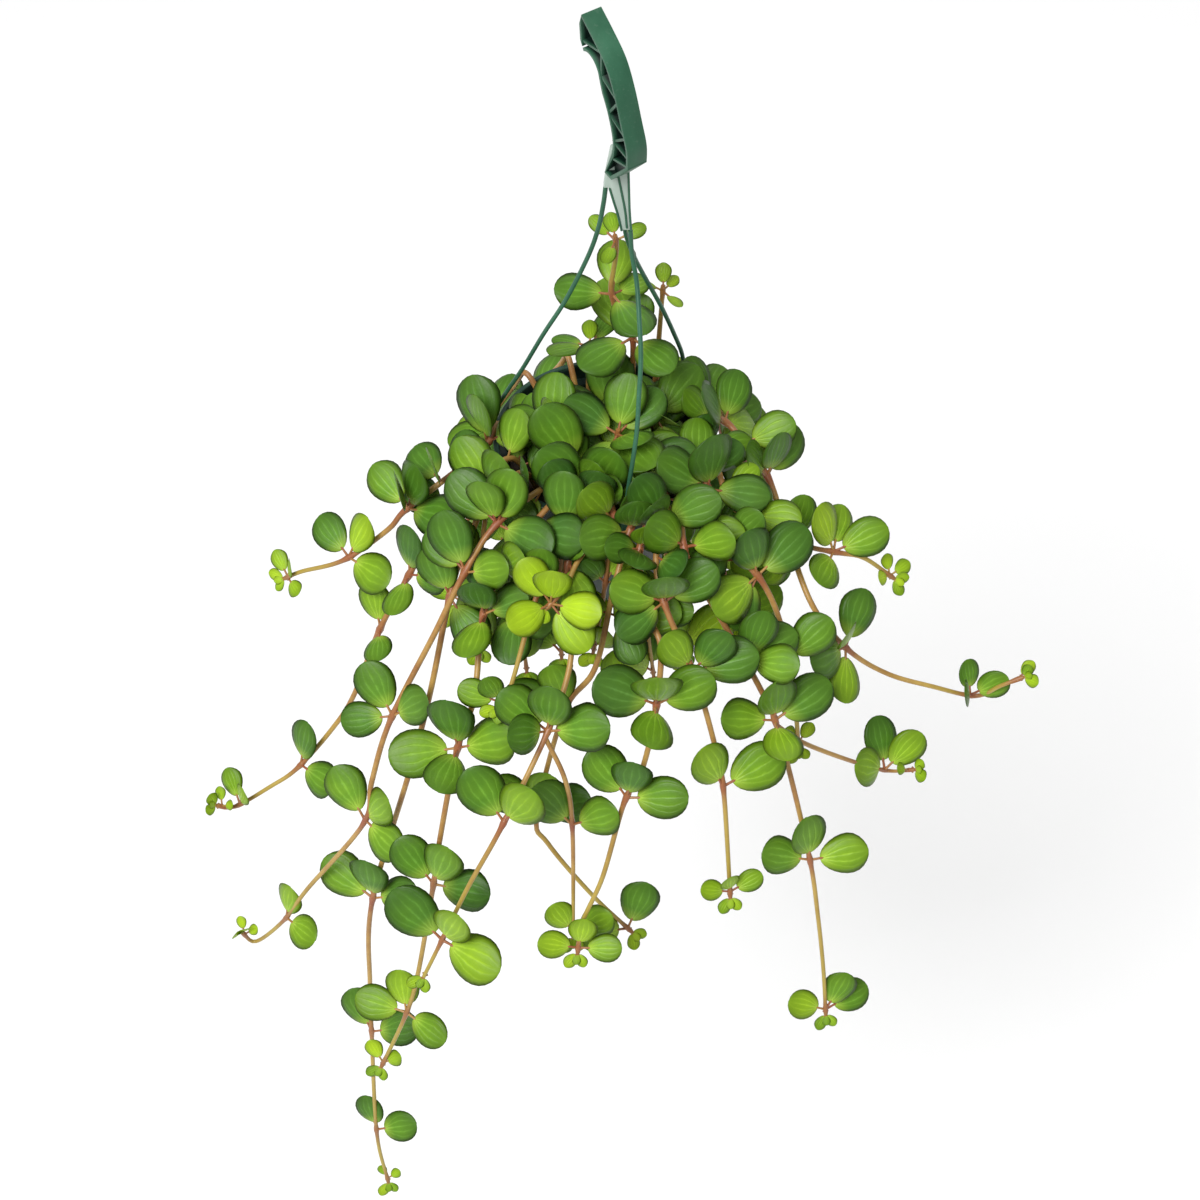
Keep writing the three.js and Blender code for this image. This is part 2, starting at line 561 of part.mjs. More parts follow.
function hookSolid() {
  const body = plateOf(hookOutline(0), HOOK_WIDTH, HOOK_WIDTH / 2);
  const pocketDepth = (HOOK_WIDTH - WEB_THICKNESS) / 2;
  const floor = hookOutline(FLANGE);
  const pockets = [HOOK_WIDTH / 2 + 1, -WEB_THICKNESS / 2].map((front) => plateOf(floor, pocketDepth + 1, front));
  const ribs = HOOK_RIBS.map(([from, to]) => {
    const [x, y] = [to[0] - from[0], to[1] - from[1]];
    const rib = new THREE.BoxGeometry(Math.hypot(x, y), HOOK_WIDTH - 1, 1.5);
    return solidOf(rib.rotateY(-Math.atan2(y, x)).translate(from[0] + x / 2, 0, from[1] + y / 2));
  });
  const hook = joined([body.subtract(joined(pockets)), ...ribs]);
  return hook.rotate([0, 0, HOOK_TURN - 90]).rotate([0, -HOOK_LEAN, 0]);
}

// The plate under the hook: side and height over the rim's middle
function yokeSolid() {
  const outline = [
    [3, 234], [0.5, 219], [-1, 206], [2.6, 206], [5, 196], [7.5, 186], [9.5, 175], [15, 175], [14, 190],
    [13.5, 205], [13, 222], [11, 234],
  ];
  const shape = new THREE.Shape(outline.map(([side, height]) => new THREE.Vector2(side, height)));
  const plate = new THREE.ExtrudeGeometry(shape, { depth: YOKE_DEPTH, bevelEnabled: false });
  plate.rotateX(Math.PI / 2).translate(POT_SIDE, YOKE_DEPTH / 2 - 3, -RIM_DROP);
  return solidOf(plate);
}

// The strands: round rods that bow out and end upright in a clip on the rim
const STRANDS = {
  strand_left: [[0.5, 2, 205.5], [-1, 1, 190], [-4, 0, 171], [-10, -1, 149], [-23, -3, 114], [-37, -6, 83],
    [-50, -9, 52], [-60, -12, 30], [-67.6, -14.2, 12], [-70.6, -15, -2]],
  strand_front: [[14.6, 4.6, 174.4], [15.6, 6, 158], [18.5, 13, 142], [20, 28, 127], [21, 42, 110],
    [20, 54, 91], [19, 62, 71], [17, 67, 52], [14.2, 70.6, 28], [12.5, 71.1, -2]],
  strand_back: [[11.2, 0.4, 174.4], [12.6, -5, 161], [17, -16, 137], [23, -23, 116], [34, -32, 83],
    [43, -40, 52], [49.6, -47.6, 24], [51, -51, -2]],
};

function clipSolid(end) {
  const turn = Math.atan2(end[1], end[0] - POT_SIDE);
  const radius = RIM_RADIUS + GAP;
  const clip = new THREE.BoxGeometry(CLIP_DEPTH, 8, 11).translate(radius + CLIP_DEPTH / 2, 0, -6.5);
  const foot = new THREE.BoxGeometry(3.4, 5, 1.6).translate(radius - 0.2, 0, -RIM_SKIRT - GAP - 0.8 + 2.4);
  foot.translate(0, 0, -2.4);
  const heel = new THREE.BoxGeometry(CLIP_DEPTH, 5, 5).translate(radius + CLIP_DEPTH / 2, 0, -RIM_SKIRT);
  return joined([clip, foot, heel].map(solidOf)).rotate([0, 0, turn / RADIAN]).translate(POT_SIDE, 0, -RIM_DROP);
}

function strandSolid(line) {
  return joined([rod(line, STRAND_RADIUS, STRAND_RADIUS, 6), clipSolid(line[line.length - 1])]);
}

// Finishes
const finish = (color, roughness) => new THREE.MeshStandardMaterial({ color, roughness, metalness: 0 });
const potGreen = finish(0x1b2a22, 0.45);
const hookGreen = finish(0x2f6b4c, 0.4);
const leafGreen = finish(0x5d8a2e, 0.5);
const soilBrown = finish(0x2b211a, 0.95);

const plant = new THREE.Group();
const draw = drawsFrom(SEED);
const strands = Object.entries(STRANDS).map(([name, way]) => [name, smoothLine(way.map(place))]);
const stems = stemsOf(draw);
const leaves = leavesOf(stems, strands.map(([, line]) => line), draw);
plant.add(meshOf("hanger_hook", joined([hookSolid(), yokeSolid()]), hookGreen));
for (const [name, line] of strands) plant.add(meshOf("hanger_" + name, strandSolid(line), hookGreen));
plant.add(meshOf("pot", potSolid(), potGreen));
plant.add(meshOf("soil", soilSolid(stems), soilBrown));
for (const stem of stems) plant.add(meshOf(stem.name, leafyStem(stem, leaves), leafGreen));

export default plant;
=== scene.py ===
"""A hanging nursery pot of a trailing peperomia: its hanger, pot, soil and leafy stems.

Each piece is dressed over its solid. Finished meshes are in metres in the frame of the solids: +Z up, with
the origin where the hook bears on its rod. Sizes are named in millimetres, and the ways of stems and strands
are given as side, forward and height from the middle of the rim's top, just as the solids have them.
"""

import logging
import math
from collections.abc import Iterable, Sequence
from dataclasses import dataclass, field
from enum import Enum
from itertools import product
from typing import ClassVar

import bpy
from mathutils import Matrix, Vector, noise
from mathutils.bvhtree import BVHTree
from mathutils.kdtree import KDTree


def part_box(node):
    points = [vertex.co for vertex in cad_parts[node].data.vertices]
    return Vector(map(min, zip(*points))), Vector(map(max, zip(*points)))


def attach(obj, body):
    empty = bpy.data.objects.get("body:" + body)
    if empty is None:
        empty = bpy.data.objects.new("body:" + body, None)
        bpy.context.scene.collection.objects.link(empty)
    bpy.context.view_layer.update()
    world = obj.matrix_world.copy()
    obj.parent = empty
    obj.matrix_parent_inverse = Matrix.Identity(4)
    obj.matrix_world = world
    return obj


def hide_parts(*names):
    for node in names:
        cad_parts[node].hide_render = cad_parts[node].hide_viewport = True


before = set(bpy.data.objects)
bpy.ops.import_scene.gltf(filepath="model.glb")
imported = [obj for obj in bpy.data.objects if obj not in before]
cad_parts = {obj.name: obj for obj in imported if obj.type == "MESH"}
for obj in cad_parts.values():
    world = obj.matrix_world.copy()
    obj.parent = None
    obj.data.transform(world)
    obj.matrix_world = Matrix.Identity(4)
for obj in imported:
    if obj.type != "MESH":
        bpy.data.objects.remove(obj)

LOG = logging.getLogger("hanging_peperomia")

Point = tuple[float, ...]
Colour = tuple[float, float, float]
Piece = bpy.types.Object
Socket = bpy.types.NodeSocket

MM = 0.001
PHOTO_SIZE = 1200  # the picture's width and height in pixels

# Sizes in millimetres that several pieces share
RIM_DROP = 296.0  # from the bearing point of the hook down to the rim's top
POT_SIDE = 3.0  # the pot's axis stands this far to +X of the bearing point
RIM_RADIUS = 70.0
RIM_SKIRT = 14.0
POT_DEPTH = 110.0
POT_BASE_RADIUS = 49.0
POT_WALL = 1.6
LIP_DEPTH = 2.6  # of the rim's lip, which is painted paler as a highlight
SOIL_DROP = 16.0
GAP = 0.3
BLADE_ARCH = 0.05  # how high a blade is arched along its length, as a share of that length
BLADE_CUP = 0.04  # how far a blade's edges hang, as a share of its length

TO_METRES = Matrix.Scale(MM, 4)
FROM_RIM = Matrix.Translation((POT_SIDE, 0, -RIM_DROP))  # takes the middle of the rim's top to its place

# The plant's stems. A point that bears a whorl goes on with the blades' length, their number and the whorl's
# turn in degrees.
TRAILERS: dict[str, list[Point]] = {
    "stem_left_high": [
        (-50, -4, -24), (-58, -5, -3), (-67, -4, 8), (-75, 12, 3, 29, 2, -20), (-105, 34, -9),
        (-126, 39, -27, 28, 3, -10), (-137, 42, -41), (-166, 46, -65, 26, 3, -5), (-195, 41, -82),
        (-208, 34, -97, 12, 3, 0),
    ],
    "stem_left_low": [
        (-46, 18, -24), (-53, 22, 0), (-63, 29, 9), (-86, 42, -4), (-102, 48, -24),
        (-125, 66, -61, 24, 2, 10), (-145, 78, -100, 22, 1, -30), (-164, 88, -152), (-180, 95, -179),
        (-205, 105, -209, 23, 2, 20), (-224, 110, -223), (-249, 115, -239, 16, 2, -10),
        (-261, 117, -235, 8, 2, 0),
    ],
    "stem_front_long": [
        (-40, 30, -24), (-46, 34, 0), (-55, 41, 9), (-72, 51, -3, 29, 3, 0), (-88, 74, -28),
        (-97, 93, -52, 28, 2, 0), (-109, 125, -99), (-123, 145, -150), (-156, 168, -275, 28, 3, 0),
        (-163, 180, -361), (-165, 190, -414, 26, 2, 10), (-167, 215, -513, 22, 2, 10),
        (-162, 225, -571, 8, 2, 0),
    ],
    "stem_front_left": [
        (-29, 40, -24), (-34, 46, 0), (-41, 55, 9), (-68, 78, 1, 28, 3, 10), (-87, 98, -22, 28, 2, 0),
        (-104, 114, -54), (-135, 135, -117, 26, 2, -5), (-149, 150, -162), (-156, 161, -193, 26, 3, 10),
        (-201, 156, -278), (-221, 152, -322, 24, 2, 30), (-245, 147, -358), (-253, 150, -341, 8, 2, 0),
    ],
    "stem_front_deep": [
        (-19, 43, -24), (-23, 52, 0), (-30, 62, 9), (-48, 82, 0, 28, 3, -10), (-65, 98, -22, 28, 2, 20),
        (-75, 112, -45, 28, 2, 0), (-80, 148, -76), (-92, 164, -112, 30, 3, -15), (-104, 188, -170),
        (-110, 202, -207, 28, 3, 0), (-123, 223, -279), (-133, 231, -317, 24, 4, 0),
        (-152, 239, -370, 12, 2, 0),
    ],
    "stem_front_short": [
        (-13, 42, -24), (-15, 55, 0), (-19, 66, 9), (-25, 84, 1, 28, 3, 0), (-41, 114, -20, 28, 3, 0),
        (-57, 150, -62), (-65, 156, -76, 18, 3, -20),
    ],
    "stem_front_middle": [
        (-1, 36, -24), (-3, 52, 0), (-9, 67, 8), (-11, 80, 3), (-23, 100, -10, 28, 3, 0), (-20, 127, -42),
        (-23, 148, -58), (-36, 178, -77, 28, 3, 0), (-63, 216, -118, 29, 2, 0), (-84, 233, -157),
        (-103, 249, -198, 30, 3, 20), (-114, 257, -223),
    ],
    "stem_front_bright": [
        (4, 50, -24), (4, 60, 2), (5, 70, 8), (4, 79, 6, 28, 3, 0), (-14, 99, 0), (-24, 118, -8),
        (-35, 128, -15, 24, 5, 0),
    ],
    "stem_front_curl": [
        (15, 40, -24), (19, 57, 1), (21, 69, 8), (14, 84, 0, 28, 3, -15), (5, 108, -24), (-6, 136, -63),
        (-25, 147, -92, 27, 3, -20), (-43, 170, -171, 26, 3, 0), (-36, 178, -191), (-8, 192, -229),
        (18, 200, -261, 26, 3, -10),
    ],
    "stem_right_knee": [
        (24, 44, -24), (26, 54, 1), (29, 66, 9), (21, 92, -8, 28, 3, 0), (27, 122, -30), (34, 139, -39),
        (31, 163, -70, 30, 3, 0), (23, 183, -103), (12, 194, -123, 28, 3, 0), (-1, 216, -171),
        (-14, 229, -204), (-17, 237, -227, 20, 3, 0),
    ],
    "stem_right_front": [
        (32, 38, -24), (34, 49, 1), (38, 61, 9), (35, 79, 4, 28, 3, 20), (31, 100, -6),
        (37, 122, -22, 28, 3, 0), (55, 147, -57, 28, 3, 10), (69, 171, -102), (74, 183, -127, 30, 2, 15),
        (79, 208, -186), (80, 213, -199, 14, 3, 0),
    ],
    "stem_right_deep": [
        (38, 32, -24), (42, 43, 0), (47, 54, 9), (49, 92, -6, 28, 3, 0), (71, 120, -35),
        (88, 135, -62, 28, 3, 0), (100, 144, -85), (107, 150, -102, 28, 3, 0), (120, 168, -148),
        (133, 186, -203, 26, 3, 0), (139, 199, -239), (145, 212, -283), (149, 225, -324, 22, 3, 0),
    ],
    "stem_right_whorls": [
        (46, 22, -24), (50, 31, 0), (59, 40, 9), (65, 54, 5, 30, 3, 0), (77, 82, -10),
        (96, 95, -28, 28, 3, 0), (108, 108, -51), (113, 125, -74, 26, 2, 10), (121, 131, -118),
        (124, 134, -146, 10, 2, 0),
    ],
    "stem_right_high": [
        (50, 9, -24), (56, 16, 0), (67, 24, 9), (76, 52, -1), (90, 57, -14), (123, 62, -32),
        (147, 60, -42, 24, 4, 0), (163, 59, -48), (184, 57, -70, 10, 3, 0),
    ],
    "stem_right_long": [
        (50, -6, -24), (60, -6, -3), (70, -6, 9), (79, -4, 6, 28, 2, 10), (89, 10, 0),
        (104, 25, -15, 26, 2, 10), (117, 60, -40, 24, 1, 20), (131, 91, -60), (155, 95, -96, 28, 3, -20),
        (182, 95, -120), (211, 99, -128), (241, 95, -143, 18, 3, 0), (254, 101, -125),
        (268, 100, -117, 10, 1, 60),
    ],
    "shoot_main": [
        (14, -22, -24), (17, -24, 20), (17, -24, 67, 28, 4, 0), (9, -26, 74), (4, -26, 101, 26, 4, 40),
        (5, -26, 114), (7, -26, 132), (6, -26, 144, 16, 3, 60),
    ],
    "shoot_back": [
        (-9, -34, -24), (-10, -36, 12), (-9, -34, 50, 26, 4, 0),
    ],
    "shoot_small": [
        (30, -28, -24), (33, -36, 30), (36, -46, 86, 14, 3, 0),
    ],
}

# Side stems that spring from a whorl of another stem and are one body with it.
BRANCHES: dict[str, list[Point]] = {
    "stem_front_middle": [
        (-36, 178, -77), (-24, 188, -108), (-20, 195, -150, 28, 2, 0), (-20, 222, -232, 20, 2, 0),
    ],
    "stem_right_deep": [
        (107, 150, -102), (125, 147, -124), (159, 138, -156), (186, 123, -187, 24, 3, 0),
        (203, 125, -183, 8, 2, 0),
    ],
    "stem_front_curl": [
        (5, 108, -24), (8, 114, -44, 28, 3, 0), (15, 120, -112, 28, 2, 20),
    ],
    "stem_right_knee": [
        (21, 92, -8), (25, 106, -46, 28, 2, 10), (31, 112, -100, 28, 2, -20),
    ],
    "stem_front_deep": [
        (-65, 98, -22), (-53, 103, -50, 28, 3, 0), (-49, 110, -98, 28, 2, 20),
    ],
    "stem_front_long": [
        (-72, 51, -3), (-79, 75, -52, 28, 2, -20), (-79, 92, -98, 28, 2, 20),
    ],
    "stem_right_whorls": [
        (65, 54, 5), (74, 70, -42, 28, 2, 0), (81, 80, -90, 28, 2, 20),
    ],
    "stem_front_short": [
        (-25, 84, 1), (-28, 94, -40, 28, 2, -20), (-27, 104, -92, 28, 3, 10),
    ],
    "stem_front_bright": [
        (4, 79, 6), (0, 96, -34, 28, 3, 0), (-7, 106, -84, 28, 2, 20),
    ],
    "stem_right_front": [
        (35, 79, 4), (41, 92, -40, 28, 3, 0), (49, 100, -92, 28, 2, 20),
    ],
}

# The stems that hang behind: their bearing at the rim and below it, counted from +X, and how far they hang
BACK_STEMS: list[tuple[float, float, float]] = [
    (16, 26, 250), (38, 40, 380), (56, 60, 300), (74, 79, 420), (92, 105, 310), (110, 126, 370),
    (136, 146, 290),
]

# How much younger the leaves at the tips of some stems are
BRIGHT_TIPS: dict[str, float] = {"stem_front_bright": 0.42, "stem_right_high": 0.2, "stem_left_high": 0.12}

# The three strands of the hanger, from the plate under the hook to the rim
STRANDS: dict[str, list[Point]] = {
    "hanger_strand_left": [
        (0.5, 2, 205.5), (-1, 1, 190), (-4, 0, 171), (-10, -1, 149), (-23, -3, 114), (-37, -6, 83),
        (-50, -9, 52), (-60, -12, 30), (-67.6, -14.2, 12), (-70.6, -15, -2),
    ],
    "hanger_strand_front": [
        (14.6, 4.6, 174.4), (15.6, 6, 158), (18.5, 13, 142), (20, 28, 127), (21, 42, 110), (20, 54, 91),
        (19, 62, 71), (17, 67, 52), (14.2, 70.6, 28), (12.5, 71.1, -2),
    ],
    "hanger_strand_back": [
        (11.2, 0.4, 174.4), (12.6, -5, 161), (17, -16, 137), (23, -23, 116), (34, -32, 83), (43, -40, 52),
        (49.6, -47.6, 24), (51, -51, -2),
    ],
}


def place(point: Sequence[float]) -> Vector:
    """Side, forward and height from the rim's middle, as a place in the frame in millimetres.

    Args:
        point: side, forward and height, and anything that a whorl adds.

    Returns:
        The place.
    """
    side, forward, height = point[:3]
    return Vector((POT_SIDE + side, -forward, height - RIM_DROP))


def between(points: Sequence[Vector], share: float) -> tuple[Vector, Vector]:
    """A place on the smooth curve between two points.

    Args:
        points: the point before, the two points and the point after.
        share: how far along the curve the place lies, from 0 to 1.

    Returns:
        The place, and the way that the curve goes there.
    """
    before, start, end, after = points
    leaving, arriving = (end - before) / 2, (after - start) / 2
    square = 3 * (end - start) - 2 * leaving - arriving
    cube = 2 * (start - end) + leaving + arriving
    spot = start + leaving * share + square * share**2 + cube * share**3
    return spot, leaving + 2 * square * share + 3 * cube * share**2


def finder(spots: Sequence[Vector]) -> KDTree:
    """A tree that finds the nearest of some places.

    Args:
        spots: the places.

    Returns:
        The tree, which gives each place's number with it.
    """
    tree = KDTree(len(spots))
    for index, spot in enumerate(spots):
        tree.insert(spot, index)
    tree.balance()
    return tree


class Draws:
    """Seeded draws between -1 and 1."""

    def __init__(self, seed: int) -> None:
        """Starts the draws at a seed."""
        self.state = seed

    def __call__(self) -> float:
        """The next draw."""
        self.state = (self.state * 1664525 + 1013904223) % 2**32
        return self.state / 2**31 - 1


@dataclass
class Route:
    """A smooth way through given points, with its end points mirrored."""

    points: list[Vector]

    def at(self, span: int, share: float) -> Vector:
        """A place on the way.

        Args:
            span: the point that the span starts at.
            share: how far along the span the place lies, from 0 to 1.

        Returns:
            The place in millimetres.
        """
        start, end = self.points[span], self.points[span + 1]
        before = self.points[span - 1] if span else 2 * start - end
        after = self.points[span + 2] if span + 2 < len(self.points) else 2 * end - start
        return between((before, start, end, after), share)[0]

    def steps(self, span: int, step: float) -> int:
        """How many steps of about this length a span takes."""
        return max(1, int((self.points[span + 1] - self.points[span]).length / step + 0.5))

    def line(self, step: float) -> list[Vector]:
        """The way as a line of points about one step apart.

        Args:
            step: the distance between two points in millimetres.

        Returns:
            The points.
        """
        spans = range(len(self.points) - 1)
        inner = [self.at(i, k / self.steps(i, step)) for i in spans for k in range(self.steps(i, step))]
        return [*inner, self.points[-1]]


class Bench:
    """The modelling bench: the few moves that the pieces are made with."""

    @staticmethod
    def clear() -> None:
        """Selects nothing."""
        bpy.ops.object.select_all(action="DESELECT")

    @staticmethod
    def take(*pieces: Piece) -> None:
        """Selects only these pieces and works on the first.

        Args:
            pieces: the pieces.
        """
        Bench.clear()
        for piece in pieces:
            piece.select_set(True)
        bpy.context.view_layer.objects.active = pieces[0]

    @staticmethod
    def modified(piece: Piece, kind: str, **settings: object) -> Piece:
        """Adds a modifier to a piece and applies it.

        Args:
            piece: the piece.
            kind: the modifier's type.
            settings: its settings.

        Returns:
            The same piece.
        """
        Bench.take(piece)
        bpy.ops.object.modifier_add(type=kind)
        modifier = piece.modifiers[-1]
        for name, value in settings.items():
            setattr(modifier, name, value)
        bpy.ops.object.modifier_apply(modifier=modifier.name)
        return piece

    @staticmethod
    def bevelled(piece: Piece, width: float, segments: int, angle: float = 34.4) -> Piece:
        """Rounds the sharper edges of a piece.

        Args:
            piece: the piece.
            width: how wide the rounding is.
            segments: how many faces go round it.
            angle: the bend in degrees from which an edge is rounded.

        Returns:
            The same piece.
        """
        limit = math.radians(angle)
        return Bench.modified(
            piece, "BEVEL", width=width, segments=segments, limit_method="ANGLE", angle_limit=limit
        )

    @staticmethod
    def cut(piece: Piece, tool: Piece, operation: str = "DIFFERENCE") -> Piece:
        """Joins a tool to a piece or cuts it out of it, and removes the tool.

        Args:
            piece: the piece.
            tool: the tool.
            operation: DIFFERENCE to cut or UNION to join.

        Returns:
            The same piece.
        """
        Bench.modified(piece, "BOOLEAN", object=tool, operation=operation, solver="EXACT")
        bpy.data.objects.remove(tool)
        return piece

    @staticmethod
    def joined(pieces: Sequence[Piece], name: str) -> Piece:
        """Makes one mesh of several pieces.

        Args:
            pieces: the pieces, the first of which becomes the whole.
            name: the whole's name.

        Returns:
            The whole.
        """
        Bench.take(*pieces)
        if len(pieces) > 1:
            bpy.ops.object.join()
        pieces[0].name = pieces[0].data.name = name
        return pieces[0]

    @staticmethod
    def mended(piece: Piece, reach: float = 1e-5) -> Piece:
        """Merges a piece's double points and turns its faces outwards.

        Args:
            piece: the piece.
            reach: how far apart two points are still one.

        Returns:
            The same piece.
        """
        Bench.take(piece)
        bpy.ops.object.mode_set(mode="EDIT")
        bpy.ops.mesh.select_all(action="SELECT")
        bpy.ops.mesh.remove_doubles(threshold=reach)
        bpy.ops.mesh.normals_make_consistent(inside=False)
        bpy.ops.object.mode_set(mode="OBJECT")
        return piece

    @staticmethod
    def smooth(piece: Piece, angle: float = 40.0) -> Piece:
        """Shades a piece smooth, apart from edges sharper than an angle in degrees.

        Args:
            piece: the piece.
            angle: the angle.

        Returns:
            The same piece.
        """
        Bench.take(piece)
        bpy.ops.object.shade_smooth_by_angle(angle=math.radians(angle))
        return piece

    @staticmethod
    def turned(profile: Sequence[Point], sides: int) -> Piece:
        """Turns a closed form on the Z axis: a disc is extruded and scaled from one radius to the next.

        Args:
            profile: pairs of radius and height, from the first disc to the last.
            sides: the number of sides.

        Returns:
            The form, with its normals out.
        """
        (radius, height), *rest = profile
        Bench.clear()
        bpy.ops.mesh.primitive_circle_add(
            vertices=sides, radius=radius, fill_type="NGON", location=(0, 0, height), enter_editmode=True
        )
        bpy.ops.mesh.select_all(action="SELECT")
        for new_radius, new_height in rest:
            move = {"value": (0, 0, new_height - height)}
            bpy.ops.mesh.extrude_region_move(TRANSFORM_OT_translate=move)
            grow = new_radius / radius
            bpy.ops.transform.resize(value=(grow, grow, 1), center_override=(0, 0, new_height))
            radius, height = new_radius, new_height
        bpy.ops.object.mode_set(mode="OBJECT")
        piece = bpy.context.object
        bpy.ops.object.transform_apply(location=True, rotation=True, scale=True)
        return Bench.mended(piece, 1e-7)

    @staticmethod
    def plate(outline: Sequence[Vector], depth: float, back: float) -> Piece:
        """Extrudes an outline in the XZ plane towards -Y.

        Args:
            outline: its points, across and up.
            depth: how deep the plate is.
            back: where its back face lies on the Y axis.

        Returns:
            The plate.
        """
        Bench.clear()
        bpy.ops.mesh.primitive_circle_add(vertices=len(outline), fill_type="NGON")
        piece = bpy.context.object
        for vertex, point in zip(piece.data.vertices, outline):
            vertex.co = (point[0], back, point[1])
        bpy.ops.object.mode_set(mode="EDIT")
        bpy.ops.mesh.select_all(action="SELECT")
        bpy.ops.mesh.extrude_region_move(TRANSFORM_OT_translate={"value": (0, -depth, 0)})
        bpy.ops.object.mode_set(mode="OBJECT")
        return Bench.mended(piece, 1e-6)

    @staticmethod
    def block(size: Sequence[float], middle: Sequence[float]) -> Piece:
        """A block of a size, about its middle.

        Args:
            size: its size along each axis.
            middle: its middle.

        Returns:
            The block.
        """
        Bench.clear()
        bpy.ops.mesh.primitive_cube_add(size=1, location=tuple(middle), scale=tuple(size))
        bpy.ops.object.transform_apply(location=True, rotation=True, scale=True)
        return bpy.context.object

    @staticmethod
    def tube(line: Sequence[Vector], radii: Sequence[float], fineness: int) -> Piece:
        """A round tube along a line, with its ends closed.

        Args:
            line: the points that it follows.
            radii: its radius at each point.
            fineness: the curve's bevel resolution, which gives two more sides for each one more.

        Returns:
            The tube as a mesh.
        """
        curve = bpy.data.curves.new("tube", "CURVE")
        curve.dimensions = "3D"
        curve.bevel_depth = 1.0
        curve.bevel_resolution = fineness
        curve.use_fill_caps = True
        spline = curve.splines.new("POLY")
        spline.points.add(len(line) - 1)
        for point, centre, radius in zip(spline.points, line, radii):
            point.co = (*centre, 1.0)
            point.radius = radius
        piece = bpy.data.objects.new("tube", curve)
        bpy.context.scene.collection.objects.link(piece)
        Bench.take(piece)
        bpy.ops.object.convert(target="MESH")
        return Bench.mended(bpy.context.object)

    @staticmethod
    def copied(pattern: Piece, matrix: Matrix) -> Piece:
        """A copy of a pattern with a mesh of its own, set in place by a matrix.

        Args:
            pattern: the piece to copy.
            matrix: what sets the copy in place.

        Returns:
            The copy.
        """
        piece = pattern.copy()
        piece.data = pattern.data.copy()
        piece.data.transform(matrix)
        bpy.context.scene.collection.objects.link(piece)
        return piece

    @staticmethod
    def marked(piece: Piece, **values: float | Sequence[float]) -> Piece:
        """Writes attributes on a piece's points.

        Args:
            piece: the piece.
            values: each attribute's name and its value, one for all the points or one for each.

        Returns:
            The same piece.
        """
        count = len(piece.data.vertices)
        for name, value in values.items():
            layer = piece.data.attributes.new(name, "FLOAT", "POINT")
            layer.data.foreach_set("value", [value] * count if isinstance(value, float) else value)
        return piece


